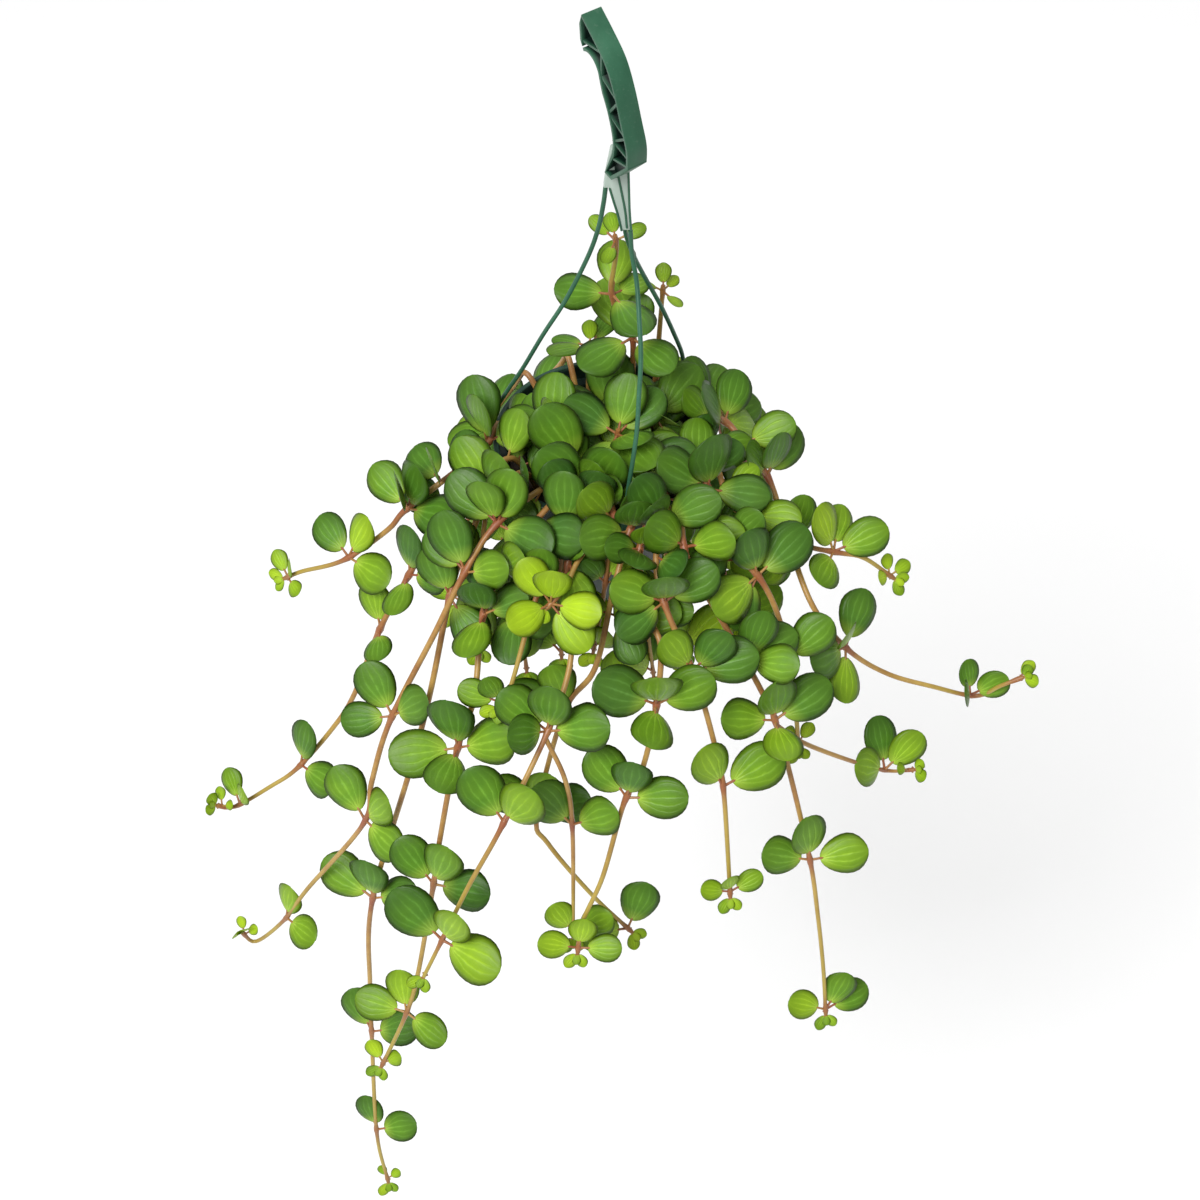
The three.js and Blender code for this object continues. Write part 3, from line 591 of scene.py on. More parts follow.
class Graph:
    """The nodes of a material, with short ways to add and link them."""

    def __init__(self, name: str) -> None:
        """Starts a material with one principled shader.

        Args:
            name: the material's name.
        """
        self.material = bpy.data.materials.new(name)
        self.material.use_nodes = True
        self.tree = self.material.node_tree
        self.tree.nodes.clear()
        self.shader = self.node("ShaderNodeBsdfPrincipled")
        output = self.node("ShaderNodeOutputMaterial")
        self.tree.links.new(self.shader.outputs["BSDF"], output.inputs["Surface"])

    def node(self, kind: str, **settings: object) -> bpy.types.Node:
        """Adds a node with its settings.

        Args:
            kind: the node's type.
            settings: its settings.

        Returns:
            The node.
        """
        node = self.tree.nodes.new(kind)
        for name, value in settings.items():
            setattr(node, name, value)
        return node

    def feed(self, socket: Socket, value: Socket | float | Colour) -> None:
        """Links a socket to another, or sets its value.

        Args:
            socket: the socket to feed.
            value: another socket, a number or a colour.
        """
        if isinstance(value, bpy.types.NodeSocket):
            self.tree.links.new(value, socket)
        elif isinstance(value, tuple):
            socket.default_value = (*value, 1.0) if len(value) < len(socket.default_value) else value
        else:
            socket.default_value = value

    def set(self, **values: float | Colour | Socket) -> None:
        """Feeds the shader's own sockets, named with underlines for spaces."""
        for name, value in values.items():
            self.feed(self.shader.inputs[name.replace("_", " ")], value)

    def coordinates(self, kind: str = "Object") -> Socket:
        """Texture coordinates of a kind."""
        return self.node("ShaderNodeTexCoord").outputs[kind]

    def axes(self, vector: Socket) -> Sequence[Socket]:
        """The three numbers of a vector.

        Args:
            vector: the vector.

        Returns:
            A socket for each.
        """
        node = self.node("ShaderNodeSeparateXYZ")
        self.feed(node.inputs[0], vector)
        return node.outputs

    def attribute(self, name: str) -> Socket:
        """The value of one of the piece's attributes."""
        return self.node("ShaderNodeAttribute", attribute_name=name).outputs["Fac"]

    def math(self, operation: str, *values: Socket | float, clamp: bool = False) -> Socket:
        """One sum on numbers.

        Args:
            operation: the sum.
            values: its numbers.
            clamp: whether the result stays between 0 and 1.

        Returns:
            The result.
        """
        node = self.node("ShaderNodeMath", operation=operation, use_clamp=clamp)
        for socket, value in zip(node.inputs, values):
            self.feed(socket, value)
        return node.outputs[0]

    def swing(self, pattern: Socket, reach: float) -> Socket:
        """A pattern from 0 to 1 as a number from minus to plus a reach."""
        return self.math("MULTIPLY_ADD", pattern, 2 * reach, -reach)

    def ease(self, value: Socket, low: float, high: float, start: float = 0.0, end: float = 1.0) -> Socket:
        """A number eased from one value to another as the first runs from low to high.

        Args:
            value: the number that runs.
            low: where the easing starts.
            high: where it ends.
            start: the result up to there.
            end: the result from there on.

        Returns:
            The eased number.
        """
        node = self.node("ShaderNodeMapRange", interpolation_type="SMOOTHSTEP")
        for socket, number in zip(node.inputs, (value, low, high, start, end)):
            self.feed(socket, number)
        return node.outputs[0]

    def mix(
        self, share: Socket | float, low: Socket | Colour, high: Socket | Colour, blend: str = "MIX"
    ) -> Socket:
        """Mixes two colours by a share.

        Args:
            share: how much of the second colour shows.
            low: the first colour.
            high: the second colour.
            blend: how the two are blended.

        Returns:
            The mixed colour.
        """
        node = self.node("ShaderNodeMix", data_type="RGBA", blend_type=blend)
        for index, value in ((0, share), (6, low), (7, high)):
            self.feed(node.inputs[index], value)
        return node.outputs[2]

    def ramp(self, value: Socket, stops: Sequence[tuple[float, Colour]]) -> Socket:
        """A colour ramp over a number.

        Args:
            value: the number.
            stops: where each colour stands, and the colour.

        Returns:
            The colour.
        """
        node = self.node("ShaderNodeValToRGB")
        elements = node.color_ramp.elements
        while len(elements) < len(stops):
            elements.new(0.5)
        for element, (position, colour) in zip(elements, stops):
            element.position = position
            element.color = (*colour, 1.0)
        self.feed(node.inputs[0], value)
        return node.outputs[0]

    def grain(self, scale: float, detail: float = 3.0, coordinates: Socket | None = None) -> Socket:
        """A noise pattern with this many cells to the metre.

        Args:
            scale: the number of cells.
            detail: how many finer layers lie on it.
            coordinates: where it is read, or None for the piece's own.

        Returns:
            The pattern, from 0 to 1.
        """
        node = self.node("ShaderNodeTexNoise")
        self.feed(node.inputs["Vector"], coordinates or self.coordinates())
        self.feed(node.inputs["Scale"], scale)
        self.feed(node.inputs["Detail"], detail)
        return node.outputs["Fac"]

    def bump(self, height: Socket, depth: float) -> None:
        """Gives the shader a relief of this depth in millimetres.

        Args:
            height: the relief's pattern.
            depth: how deep it goes.
        """
        node = self.node("ShaderNodeBump")
        self.feed(node.inputs["Height"], height)
        self.feed(node.inputs["Distance"], depth * MM)
        self.tree.links.new(node.outputs["Normal"], self.shader.inputs["Normal"])


@dataclass(frozen=True)
class LeafFinish:
    """The waxy skin of the blades: green by age, with pale veins that fan out from the base.

    A blade's own map gives the place across it, with the midrib at 0.5, and the place along it, from the base
    at 0 to the tip at 1. Its attributes give its age, its own tone and which face is the underside.
    """

    newborn: Colour = (0.31, 0.46, 0.012)
    young: Colour = (0.19, 0.325, 0.010)
    grown: Colour = (0.082, 0.19, 0.012)
    old: Colour = (0.032, 0.096, 0.013)
    ages: Point = (0.0, 0.35, 0.7, 1.0)  # at which these four greens show
    base: Colour = (0.33, 0.47, 0.045)
    base_reach: float = 0.36  # how far along the blade its pale base goes
    vein: Colour = (0.47, 0.41, 0.66)
    rim: Colour = (0.045, 0.05, 0.01)
    rim_from: float = 0.93
    underside: Colour = (0.28, 0.38, 0.08)
    half_width: float = 13.0  # of a grown blade, in millimetres
    veins: Sequence[Point] = (  # each one's place across, its strength and its half width in millimetres
        (0.0, 1.0, 1.35), (0.36, 0.9, 1.2), (0.68, 0.7, 1.05),
    )
    waver: float = 0.8  # how far a vein strays, in millimetres
    glow: float = 3.0  # how much wider than a vein its pale surroundings are
    drift: float = 0.12  # how much the age strays within a blade
    mottling: float = 0.15  # how much the light does
    gloss: float = 0.22
    relief: float = 0.35  # millimetres

    def made(self) -> bpy.types.Material:
        """Builds the material.

        Returns:
            The material.
        """
        graph = Graph("leaf_skin")
        across, along, _ = graph.axes(graph.coordinates("UV"))
        meridian = graph.math("ABSOLUTE", graph.math("MULTIPLY_ADD", across, 2.0, -1.0))
        veins = self.veined(graph, meridian, along)
        age = graph.swing(graph.grain(48.0, 2.0), self.drift)
        age = graph.math("ADD", age, graph.attribute("age"), clamp=True)
        colour = self.green(graph, age, meridian, along)
        colour = graph.mix(graph.ease(along, 0.0, self.base_reach, 0.5, 0.0), colour, self.base)
        paleness = graph.math("MULTIPLY", veins, graph.ease(age, 0.0, 0.6, 0.35, 0.85))
        colour = graph.mix(paleness, colour, self.vein, "DODGE")
        colour = graph.mix(graph.ease(meridian, self.rim_from, 1.0, 0.0, 0.6), colour, self.rim)
        pale = graph.mix(graph.math("MULTIPLY", veins, 0.4), self.underside, self.base)
        colour = graph.mix(graph.attribute("under"), colour, graph.mix(0.35, pale, colour))
        rough = graph.math("MULTIPLY_ADD", graph.grain(160.0, 2.0), 0.2, 0.3)
        graph.set(Base_Color=colour, Roughness=rough, Specular_IOR_Level=self.gloss)
        pores = graph.math("MULTIPLY", graph.grain(420.0, 2.0), 0.3)
        graph.bump(graph.math("MULTIPLY_ADD", veins, -0.7, pores), self.relief)
        return graph.material

    def green(self, graph: Graph, age: Socket, meridian: Socket, along: Socket) -> Socket:
        """The green between the veins, lighter down the middle of the blade and near its base, with painted
        shade that darkens it towards the edge and the tip.

        Args:
            graph: the material's nodes.
            age: the blade's age, from 0 to 1.
            meridian: the place across, from the midrib at 0 to the edge at 1.
            along: the place along.

        Returns:
            The colour.
        """
        stops = tuple(zip(self.ages, (self.newborn, self.young, self.grown, self.old)))
        light = graph.math("MULTIPLY_ADD", graph.attribute("tone"), 0.2, 1.0)
        light = graph.math("ADD", light, graph.swing(graph.grain(95.0), self.mottling))
        # painted shade: the green is darker towards the edge and the tip
        light = graph.math("MULTIPLY", light, graph.ease(meridian, 0.25, 1.0, 1.16, 0.78))
        light = graph.math("MULTIPLY", light, graph.ease(along, 0.4, 1.0, 1.06, 0.84))
        tint = graph.node("ShaderNodeHueSaturation")
        graph.feed(tint.inputs["Value"], light)
        graph.feed(tint.inputs["Hue"], graph.math("MULTIPLY_ADD", graph.attribute("tone"), -0.008, 0.5))
        graph.feed(tint.inputs["Color"], graph.ramp(age, stops))
        return tint.outputs[0]

    def veined(self, graph: Graph, meridian: Socket, along: Socket) -> Socket:
        """How much of a vein lies at each place: a midrib and two pairs that fan out from the base.

        Args:
            graph: the material's nodes.
            meridian: the place across, from the midrib at 0 to the edge at 1.
            along: the place along.

        Returns:
            The strength, from 0 to about 1.
        """
        swell = graph.math("MULTIPLY", along, graph.math("SUBTRACT", 1.0, along))
        width = graph.math("MULTIPLY", graph.math("SQRT", swell), 2.0 * self.half_width)
        spread = graph.math("POWER", graph.math("MULTIPLY", along, 1.7, clamp=True), 0.45)
        waver = graph.swing(graph.grain(170.0, 2.0), self.waver)
        total: Socket | float = 0.0
        for line, strength, reach in self.veins:
            apart = graph.math("SUBTRACT", meridian, graph.math("MULTIPLY", spread, line))
            apart = graph.math("ABSOLUTE", graph.math("MULTIPLY_ADD", apart, width, waver))
            core = graph.ease(apart, 0.0, reach, strength, 0.0)
            glow = graph.ease(apart, 0.0, self.glow * reach, 0.4 * strength, 0.0)
            total = graph.math("MAXIMUM", graph.math("MAXIMUM", core, glow), total)
        netted = graph.math("MULTIPLY_ADD", graph.grain(330.0, 3.0), 0.9, 0.5)
        total = graph.math("MULTIPLY", total, netted)
        return graph.math("MULTIPLY", total, graph.ease(along, 0.6, 1.0, 1.0, 0.15))


@dataclass(frozen=True)
class StemFinish:
    """The skin of stems and leaf stalks: tan to orange-brown, redder at the nodes and green at the tips.

    A piece's attributes say how far along its stem a place is, and how red.
    """

    tan: Colour = (0.46, 0.27, 0.07)
    brown: Colour = (0.30, 0.13, 0.035)
    red: Colour = (0.27, 0.062, 0.03)
    tip: Colour = (0.42, 0.34, 0.05)
    fleck: Colour = (0.5, 0.4, 0.2)
    relief: float = 0.12  # millimetres

    def made(self) -> bpy.types.Material:
        """Builds the material.

        Returns:
            The material.
        """
        graph = Graph("stem_skin")
        cloud = graph.grain(60.0)
        colour = graph.mix(graph.ease(cloud, 0.35, 0.7), self.tan, self.brown)
        colour = graph.mix(graph.ease(graph.attribute("along"), 0.55, 1.0, 0.0, 0.8), colour, self.tip)
        redness = graph.math("MULTIPLY", graph.attribute("red"), graph.ease(cloud, 0.1, 0.6, 0.7, 1.0))
        colour = graph.mix(redness, colour, self.red)
        colour = graph.mix(graph.ease(graph.grain(900.0, 2.0), 0.62, 0.72, 0.0, 0.35), colour, self.fleck)
        rough = graph.math("MULTIPLY_ADD", cloud, 0.25, 0.32)
        graph.set(Base_Color=colour, Roughness=rough, Coat_Weight=0.1, Coat_Roughness=0.3)
        graph.bump(graph.grain(700.0, 3.0), self.relief)
        return graph.material


@dataclass(frozen=True)
class PlasticFinish:
    """Moulded plastic with a little haze whose lighter streaks are partly painted sheen, fine scuffs, a satin
    sheen, and where asked painted shade and a painted highlight.
    """

    name: str
    colour: Colour
    # the lighter colour that the haze streaks and any lip turn to: painted sheen and painted highlight, with
    # some of the moulding's own haze
    sheen_and_haze: Colour
    roughness: float
    painted_highlight_from: float | None = None  # the height above which the colour turns lighter: a painted highlight along a lip
    gloss: float = 0.4
    streaks: Point = (1.0, 1.0, 0.3)  # how the haze and its painted sheen are drawn out along each axis
    scuff: Colour = (0.4, 0.5, 0.42)
    painted_pocket_shade: Colour = (0.002, 0.010, 0.007)  # painted shade, laid where the attribute "deep" says so
    relief: float = 0.05  # millimetres

    def made(self) -> bpy.types.Material:
        """Builds the material.

        Returns:
            The material.
        """
        graph = Graph(self.name)
        stretch = graph.node("ShaderNodeMapping")
        graph.feed(stretch.inputs["Scale"], self.streaks)
        graph.feed(stretch.inputs["Vector"], graph.coordinates())
        haze = graph.grain(60.0, 4.0, stretch.outputs[0])
        scuffs = graph.ease(graph.grain(520.0, 5.0), 0.56, 0.74)
        # painted sheen: lighter streaks drawn out by the haze, partly the moulding's own haze
        colour = graph.mix(graph.ease(haze, 0.3, 0.75, 0.0, 0.45), self.colour, self.sheen_and_haze)
        # painted highlight: above that height the colour turns to the lighter one
        if self.painted_highlight_from is not None:
            height = graph.axes(graph.coordinates())[2]
            lip = graph.ease(height, self.painted_highlight_from - MM, self.painted_highlight_from + MM, 0.0, 0.75)
            colour = graph.mix(lip, colour, self.sheen_and_haze)
        colour = graph.mix(graph.math("MULTIPLY", scuffs, 0.05), colour, self.scuff)
        # painted shade: the hook's pockets are darkened by the attribute "deep"
        colour = graph.mix(graph.attribute("deep"), colour, self.painted_pocket_shade)
        rough = graph.math("MULTIPLY_ADD", scuffs, 0.15, self.roughness)
        rough = graph.math("ADD", rough, graph.math("MULTIPLY", haze, 0.1))
        graph.set(Base_Color=colour, Roughness=rough, Specular_IOR_Level=self.gloss)
        graph.bump(graph.math("ADD", haze, graph.math("MULTIPLY", scuffs, 0.2)), self.relief)
        return graph.material


@dataclass(frozen=True)
class SoilFinish:
    """Dark peaty soil with lighter fibres and grit."""

    dark: Colour = (0.014, 0.010, 0.007)
    peat: Colour = (0.055, 0.036, 0.022)
    grit: Colour = (0.19, 0.15, 0.10)
    roughness: float = 0.95
    relief: float = 1.2  # millimetres

    def made(self) -> bpy.types.Material:
        """Builds the material.

        Returns:
            The material.
        """
        graph = Graph("potting_soil")
        lumps, fine = graph.grain(140.0, 6.0), graph.grain(900.0, 4.0)
        colour = graph.mix(graph.ease(lumps, 0.35, 0.68), self.dark, self.peat)
        colour = graph.mix(graph.ease(fine, 0.62, 0.76, 0.0, 0.7), colour, self.grit)
        graph.set(Base_Color=colour, Roughness=self.roughness)
        graph.bump(graph.math("ADD", lumps, graph.math("MULTIPLY", fine, 0.4)), self.relief)
        return graph.material


def dressed(piece: Piece, node: str) -> Piece:
    """Lets a finished piece ride on the part in a solid's place.

    Args:
        piece: the piece.
        node: the solid that it stands for.

    Returns:
        The same piece.
    """
    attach(piece, "root")
    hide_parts(node)
    return piece


@dataclass
class Hanger:
    """The hanger: a hook with flanges and ribs over a pale plate, whose paleness is partly a painted
    highlight, and three strands clipped to the rim.

    The hook's lines are given across and up in its own plane, from the bearing point. The plate's are given
    from the middle of the rim's top.
    """

    width: float = 12.0
    turn: float = 29.0  # of the hook's plane from the X axis, in degrees
    lean: float = 5.0
    web: float = 2.4
    flange: float = 2.0
    edge: float = 0.8
    rod_radius: float = 9.5
    saddle_side: float = -1.3
    saddle_turn: float = 0.72 * math.pi
    saddle_steps: int = 14
    back: Sequence[Point] = ((-5, 23), (7, 15), (19, 5), (26, -10), (31, -30), (34, -44), (32, -57))
    back_steps: int = 30
    chin: Sequence[Point] = ((10, -79), (2, -79))
    throat: Sequence[Point] = ((14, -58), (17, -46), (14.5, -30), (10, -19))
    throat_steps: int = 14
    tip: Sequence[Point] = ((-10, 4), (-9, 15))
    rib: float = 1.5
    ribs: Sequence[tuple[Point, Point]] = (
        ((-8, 4), (13, 9)), ((13, 9), (10, -8)), ((10, -8), (27, -15)), ((27, -15), (14, -30)),
        ((14, -30), (32, -36)), ((32, -36), (16, -48)), ((16, -48), (32.5, -50)), ((32, -56), (13, -62)),
    )
    shade: float = 1.9  # how strongly shade is painted on the pockets' floors, over 1 so that the lower walls are painted dark too
    yoke_depth: float = 5.0
    yoke_middle: float = -3.0  # on the Y axis
    yoke: Sequence[Point] = (
        (3, 234), (0.5, 219), (-1, 206), (2.6, 206), (5, 196), (7.5, 186), (9.5, 175), (15, 175), (14, 190),
        (13.5, 205), (13, 222), (11, 234),
    )
    bead: float = 0.7
    middle_bead: Sequence[Point] = ((7, 217), (9.4, 203), (11.4, 190), (12.6, 177))
    step: float = 3.0  # along a strand, a bead and the plate's curved side
    strand_radius: float = 1.4
    clip_depth: float = 2.4
    clip_width: float = 8.0
    clip_height: float = 11.0
    clip_drop: float = 6.5  # from the rim's top to the clip's middle
    heel: float = 5.0
    foot_depth: float = 3.4
    foot_height: float = 1.6
    foot_inset: float = 0.2
    plastic: PlasticFinish = PlasticFinish(
        "hanger_plastic", (0.024, 0.098, 0.052), (0.062, 0.20, 0.115), 0.36, gloss=0.28
    )
    # the plate's pale colour: partly its own pale plastic, partly a painted highlight
    pale: PlasticFinish = PlasticFinish("yoke_plastic", (0.36, 0.45, 0.39), (0.60, 0.65, 0.60), 0.3)

    def made(self) -> list[Piece]:
        """Builds the hook with its plate, and the strands.

        Returns:
            The four pieces, dressed and riding on the part.
        """
        green, pale = self.plastic.made(), self.pale.made()
        parts = [self.hook(), self.plate_under_hook(), self.beads()]
        for part, plastic in zip(parts, (green, pale, green)):
            part.data.materials.append(plastic)
        pieces = [dressed(Bench.joined(parts, "hook_and_plate"), "hanger_hook")]
        for node, way in STRANDS.items():
            strand = self.strand(way, node.removeprefix("hanger_"))
            strand.data.materials.append(green)
            pieces.append(dressed(strand, node))
        return pieces

    def outline(self, margin: float) -> list[Vector]:
        """The hook's outline in its own plane.

        Args:
            margin: how far it is drawn in.

        Returns:
            Its points, across and up.
        """
        reach, steps = self.rod_radius + margin, self.saddle_steps
        turns = [self.saddle_turn * i / steps for i in range(steps + 1)]
        middle = Vector((self.saddle_side, -self.rod_radius))
        saddle = [middle + reach * Vector((math.cos(t), math.sin(t))) for t in turns]
        (back_x, chin_y), (front_x, _) = self.chin
        chin = [(back_x - margin / 2, chin_y + margin), (front_x + margin, chin_y + margin)]
        return [
            *self.inset_spline(self.back, self.back_steps, margin), *map(Vector, chin),
            *self.inset_spline(self.throat, self.throat_steps, margin), *saddle,
            *self.inset_spline(self.tip, 2, margin),
        ]

    @staticmethod
    def inset_spline(points: Sequence[Point], steps: int, margin: float) -> list[Vector]:
        """A smooth line through points of a plane.

        Args:
            points: the points.
            steps: the number of steps along it.
            margin: how far the line is moved in.

        Returns:
            The line's points.
        """
        spans = len(points) - 1
        line = []
        for step in range(steps + 1):
            span = min(int(step * spans / steps), spans - 1)
            picks = [max(0, min(spans, span + k)) for k in (-1, 0, 1, 2)]
            spot, along = between([Vector(points[k]) for k in picks], step * spans / steps - span)
            along.normalize()
            line.append(spot + margin * Vector((along.y, -along.x)))
        return line

    def hook(self) -> Piece:
        """The hook: a plate with a pocket sunk in each side, crossed by slanted ribs, with painted shade in
        the pockets.

        Returns:
            The hook.
        """
        body = Bench.plate(self.outline(0.0), self.width, self.width / 2)
        depth = (self.width - self.web) / 2
        for back in (self.width / 2 + 1, -self.web / 2):
            Bench.cut(body, Bench.plate(self.outline(self.flange), depth + 1, back))
        for start, end in self.ribs:
            across, up = end[0] - start[0], end[1] - start[1]
            rib = Bench.block((math.hypot(across, up), self.width - 1, self.rib), (0, 0, 0))
            middle = Matrix.Translation((start[0] + across / 2, 0, start[1] + up / 2))
            rib.data.transform(middle @ Matrix.Rotation(-math.atan2(up, across), 4, "Y"))
            Bench.cut(body, rib, "UNION")
        Bench.bevelled(body, self.edge, 2, 50)
        # painted shade for the pockets: the attribute "deep" is strongest on their floors and fades up their
        # walls
        sunk = [max(0.0, abs(vertex.co.y) - self.web / 2) / depth for vertex in body.data.vertices]
        Bench.marked(body, deep=[max(0.0, self.shade * (1 - level)) for level in sunk])
        turn = Matrix.Rotation(math.radians(self.turn - 90), 4, "Z")
        lean = Matrix.Rotation(math.radians(-self.lean), 4, "Y")
        body.data.transform(TO_METRES @ lean @ turn)
        return Bench.smooth(body, 45)

    def plate_under_hook(self) -> Piece:
        """The plate that the strands hang from, pale partly in its own plastic and partly as a painted
        highlight.

        Returns:
            The plate.
        """
        curved = Route([Vector((*point, 0)) for point in self.yoke[3:7]]).line(self.step)
        left, right = map(Vector, self.yoke[:3]), map(Vector, self.yoke[7:])
        outline = [*left, *(point.to_2d() for point in curved), *right]
        plate = Bench.plate(outline, self.yoke_depth, self.yoke_depth / 2 + self.yoke_middle)
        Bench.bevelled(plate, 0.9, 3)
        plate.data.transform(TO_METRES @ FROM_RIM)
        return Bench.smooth(plate)

    def beads(self) -> Piece:
        """Thin beads along the plate's edges and down its middle, on its front face.

        Returns:
            The beads as one mesh.
        """
        face = self.yoke_middle - self.yoke_depth / 2
        beads = []
        for side in (self.yoke[3:7], self.yoke[7:11], self.middle_bead):
            line = Route([Vector((across, face, up)) for across, up in side]).line(self.step)
            beads.append(Bench.tube(line, [self.bead] * len(line), 2))
        whole = Bench.joined(beads, "beads")
        whole.data.transform(TO_METRES @ FROM_RIM)
        return Bench.smooth(whole, 60)

    def strand(self, way: Sequence[Point], name: str) -> Piece:
        """One strand, with the clip that holds it to the rim.

        Args:
            way: the strand's way.
            name: the piece's name.

        Returns:
            The strand.
        """
        line = Route([place(point) for point in way]).line(self.step)
        rod = Bench.tube(line, [self.strand_radius] * len(line), 4)
        inside = RIM_RADIUS + GAP
        middle = inside + self.clip_depth / 2
        clip = Bench.block((self.clip_depth, self.clip_width, self.clip_height), (middle, 0, -self.clip_drop))
        heel = Bench.block((self.clip_depth, self.heel, self.heel), (middle, 0, -RIM_SKIRT))
        under = (inside - self.foot_inset, 0, -RIM_SKIRT - GAP - self.foot_height / 2)
        foot = Bench.block((self.foot_depth, self.heel, self.foot_height), under)
        Bench.cut(Bench.cut(clip, heel, "UNION"), foot, "UNION")
        Bench.bevelled(clip, 0.5, 2)
        turn = Matrix.Rotation(math.atan2(line[-1].y, line[-1].x - POT_SIDE), 4, "Z")
        clip.data.transform(FROM_RIM @ turn)
        whole = Bench.joined([rod, clip], name)
        whole.data.transform(TO_METRES)
        return Bench.smooth(whole, 35)


@dataclass
class Pot:
    """The thin nursery pot: a tapered wall, a deep rim with a rolled lip, and holes in its base."""

    sides: int = 96
    centre: float = 4.0  # the radius at which the profile starts and ends
    neck_inset: float = 7.0
    floor: float = 1.6
    raised: float = 2.0  # how far the base stands over its foot ring
    holes: int = 6
    hole_radius: float = 4.0
    hole_ring: float = 36.0
    drill: float = 12.0  # how long the drill is
    # the rolled lip is painted lighter as a highlight
    plastic: PlasticFinish = PlasticFinish(
        "pot_plastic", (0.006, 0.017, 0.013), (0.03, 0.075, 0.052), 0.42,
        painted_highlight_from=-(RIM_DROP + LIP_DEPTH) * MM, gloss=0.22,
    )

    def profile(self) -> list[Point]:
        """The wall's profile, from under the base out, up and back down inside.

        Returns:
            Its points, each a radius and a height.
        """
        neck, rim, base = RIM_RADIUS - self.neck_inset, RIM_RADIUS, POT_BASE_RADIUS
        skirt, depth = RIM_SKIRT, POT_DEPTH
        centre, inner = self.centre, self.raised + self.floor - depth
        return [
            (centre, self.raised - depth), (base - 12, self.raised - depth), (base - 11, 1.6 - depth),
            (base - 9.4, 0.2 - depth), (base - 8.6, -depth), (base - 1.6, -depth), (base - 0.5, 0.4 - depth),
            (base - 0.1, 1.4 - depth), (neck - 0.1, -skirt - 3), (neck + 0.4, -skirt - 1.9),
            (neck + 4.4, -skirt - 0.3), (neck + 5.1, 0.4 - skirt), (rim - 1.5, -3.4), (rim - 0.6, -2.8),
            (rim - 0.1, -2.1), (rim, -0.9), (rim - 0.5, -0.15), (rim - 1.4, 0), (rim - 2.8, 0),
            (rim - 3.4, -0.5), (rim - 3.7, 2 - skirt), (neck - POT_WALL + 0.6, 0.4 - skirt),
            (neck - POT_WALL, -skirt - 1), (base - POT_WALL, inner), (centre, inner),
        ]

    def made(self) -> Piece:
        """Builds the pot with its drain holes.

        Returns:
            The pot, dressed and riding on the part.
        """
        pot = Bench.turned(self.profile(), self.sides)
        drills = []
        for index in range(self.holes):
            turn = (index + 0.5) / self.holes * math.tau
            spot = (self.hole_ring * math.cos(turn), self.hole_ring * math.sin(turn), 3 - POT_DEPTH)
            Bench.clear()
            bpy.ops.mesh.primitive_cylinder_add(
                vertices=24, radius=self.hole_radius, depth=self.drill, location=spot
            )
            bpy.ops.object.transform_apply(location=True, rotation=True, scale=True)
            drills.append(bpy.context.object)
        Bench.cut(pot, Bench.joined(drills, "drills"))
        pot.data.transform(TO_METRES @ FROM_RIM)
        pot.name = pot.data.name = "nursery_pot"
        pot.data.materials.append(self.plastic.made())
        return dressed(Bench.smooth(pot, 35), "pot")


@dataclass
class Soil:
    """The soil that fills the pot: a crumbly top with lumps strewn on it."""

    sides: int = 72
    rings: int = 14
    edge_gap: float = 0.2  # from the solid's edge
    relief: float = 2.2
    swells: Point = (14.0, 2.6, 1.1)  # how wide the top's broad, fine and finest bumps are
    sunk: float = 0.5  # how far the top lies lower with its bumps
    lumps: int = 260
    seed: int = 911
    finish: SoilFinish = SoilFinish()

    def made(self) -> Piece:
        """Builds the filling and strews its lumps.

        Returns:
            The soil, dressed and riding on the part.
        """
        low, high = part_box("soil")
        edge = (high[0] - low[0]) / 2 / MM - self.edge_gap
        profile = [
            (POT_BASE_RADIUS - POT_WALL - GAP, low[2] / MM + RIM_DROP), (edge, -SOIL_DROP - 3.0),
            (edge - 0.6, -SOIL_DROP - 1.6),
        ]
        profile += [(edge * k / self.rings, -SOIL_DROP) for k in range(self.rings - 1, 0, -1)]
        bed = Bench.turned(profile, self.sides)
        for vertex in bed.data.vertices:
            if vertex.co.z > -SOIL_DROP - 2:
                vertex.co.z += self.bump(Vector((vertex.co.x, vertex.co.y, 0)))
        bed.data.transform(TO_METRES @ FROM_RIM)
        whole = Bench.joined([Bench.smooth(bed, 60), *self.strewn(edge)], "potting_soil_bed")
        whole.data.materials.append(self.finish.made())
        return dressed(whole, "soil")

    def bump(self, spot: Vector) -> float:
        """How far the top is raised at a place.

        Args:
            spot: the place on the flat top.

        Returns:
            The height in millimetres.
        """
        broad, fine, finest = (noise.noise(spot / swell) for swell in self.swells)
        return self.relief * (0.6 * broad + 0.5 * (fine + 0.6 * finest)) - self.sunk

    def strewn(self, edge: float) -> list[Piece]:
        """Lumps of peat on the soil, flattened, turned and half sunk.

        Args:
            edge: the radius of the soil's top.

        Returns:
            The lumps.
        """
        Bench.clear()
        bpy.ops.mesh.primitive_ico_sphere_add(subdivisions=1, radius=1)
        lump = bpy.context.object
        draw = Draws(self.seed)
        level = -RIM_DROP - SOIL_DROP + 0.2
        parts = []
        for _ in range(self.lumps):
            radius, turn = edge * 0.93 * math.sqrt(abs(draw())), draw() * math.pi
            size = 0.7 + 1.1 * abs(draw()) ** 2
            spot = Vector((POT_SIDE + radius * math.cos(turn), radius * math.sin(turn), level))
            shape = Matrix.Diagonal((size, size * (0.7 + 0.3 * draw()), size * 0.7, 1))
            spin = Matrix.Rotation(draw() * math.pi, 4, "Z") @ Matrix.Rotation(draw() * 0.7, 4, "X")
            parts.append(Bench.copied(lump, TO_METRES @ Matrix.Translation(spot) @ spin @ shape))
        bpy.data.objects.remove(lump)
        return parts


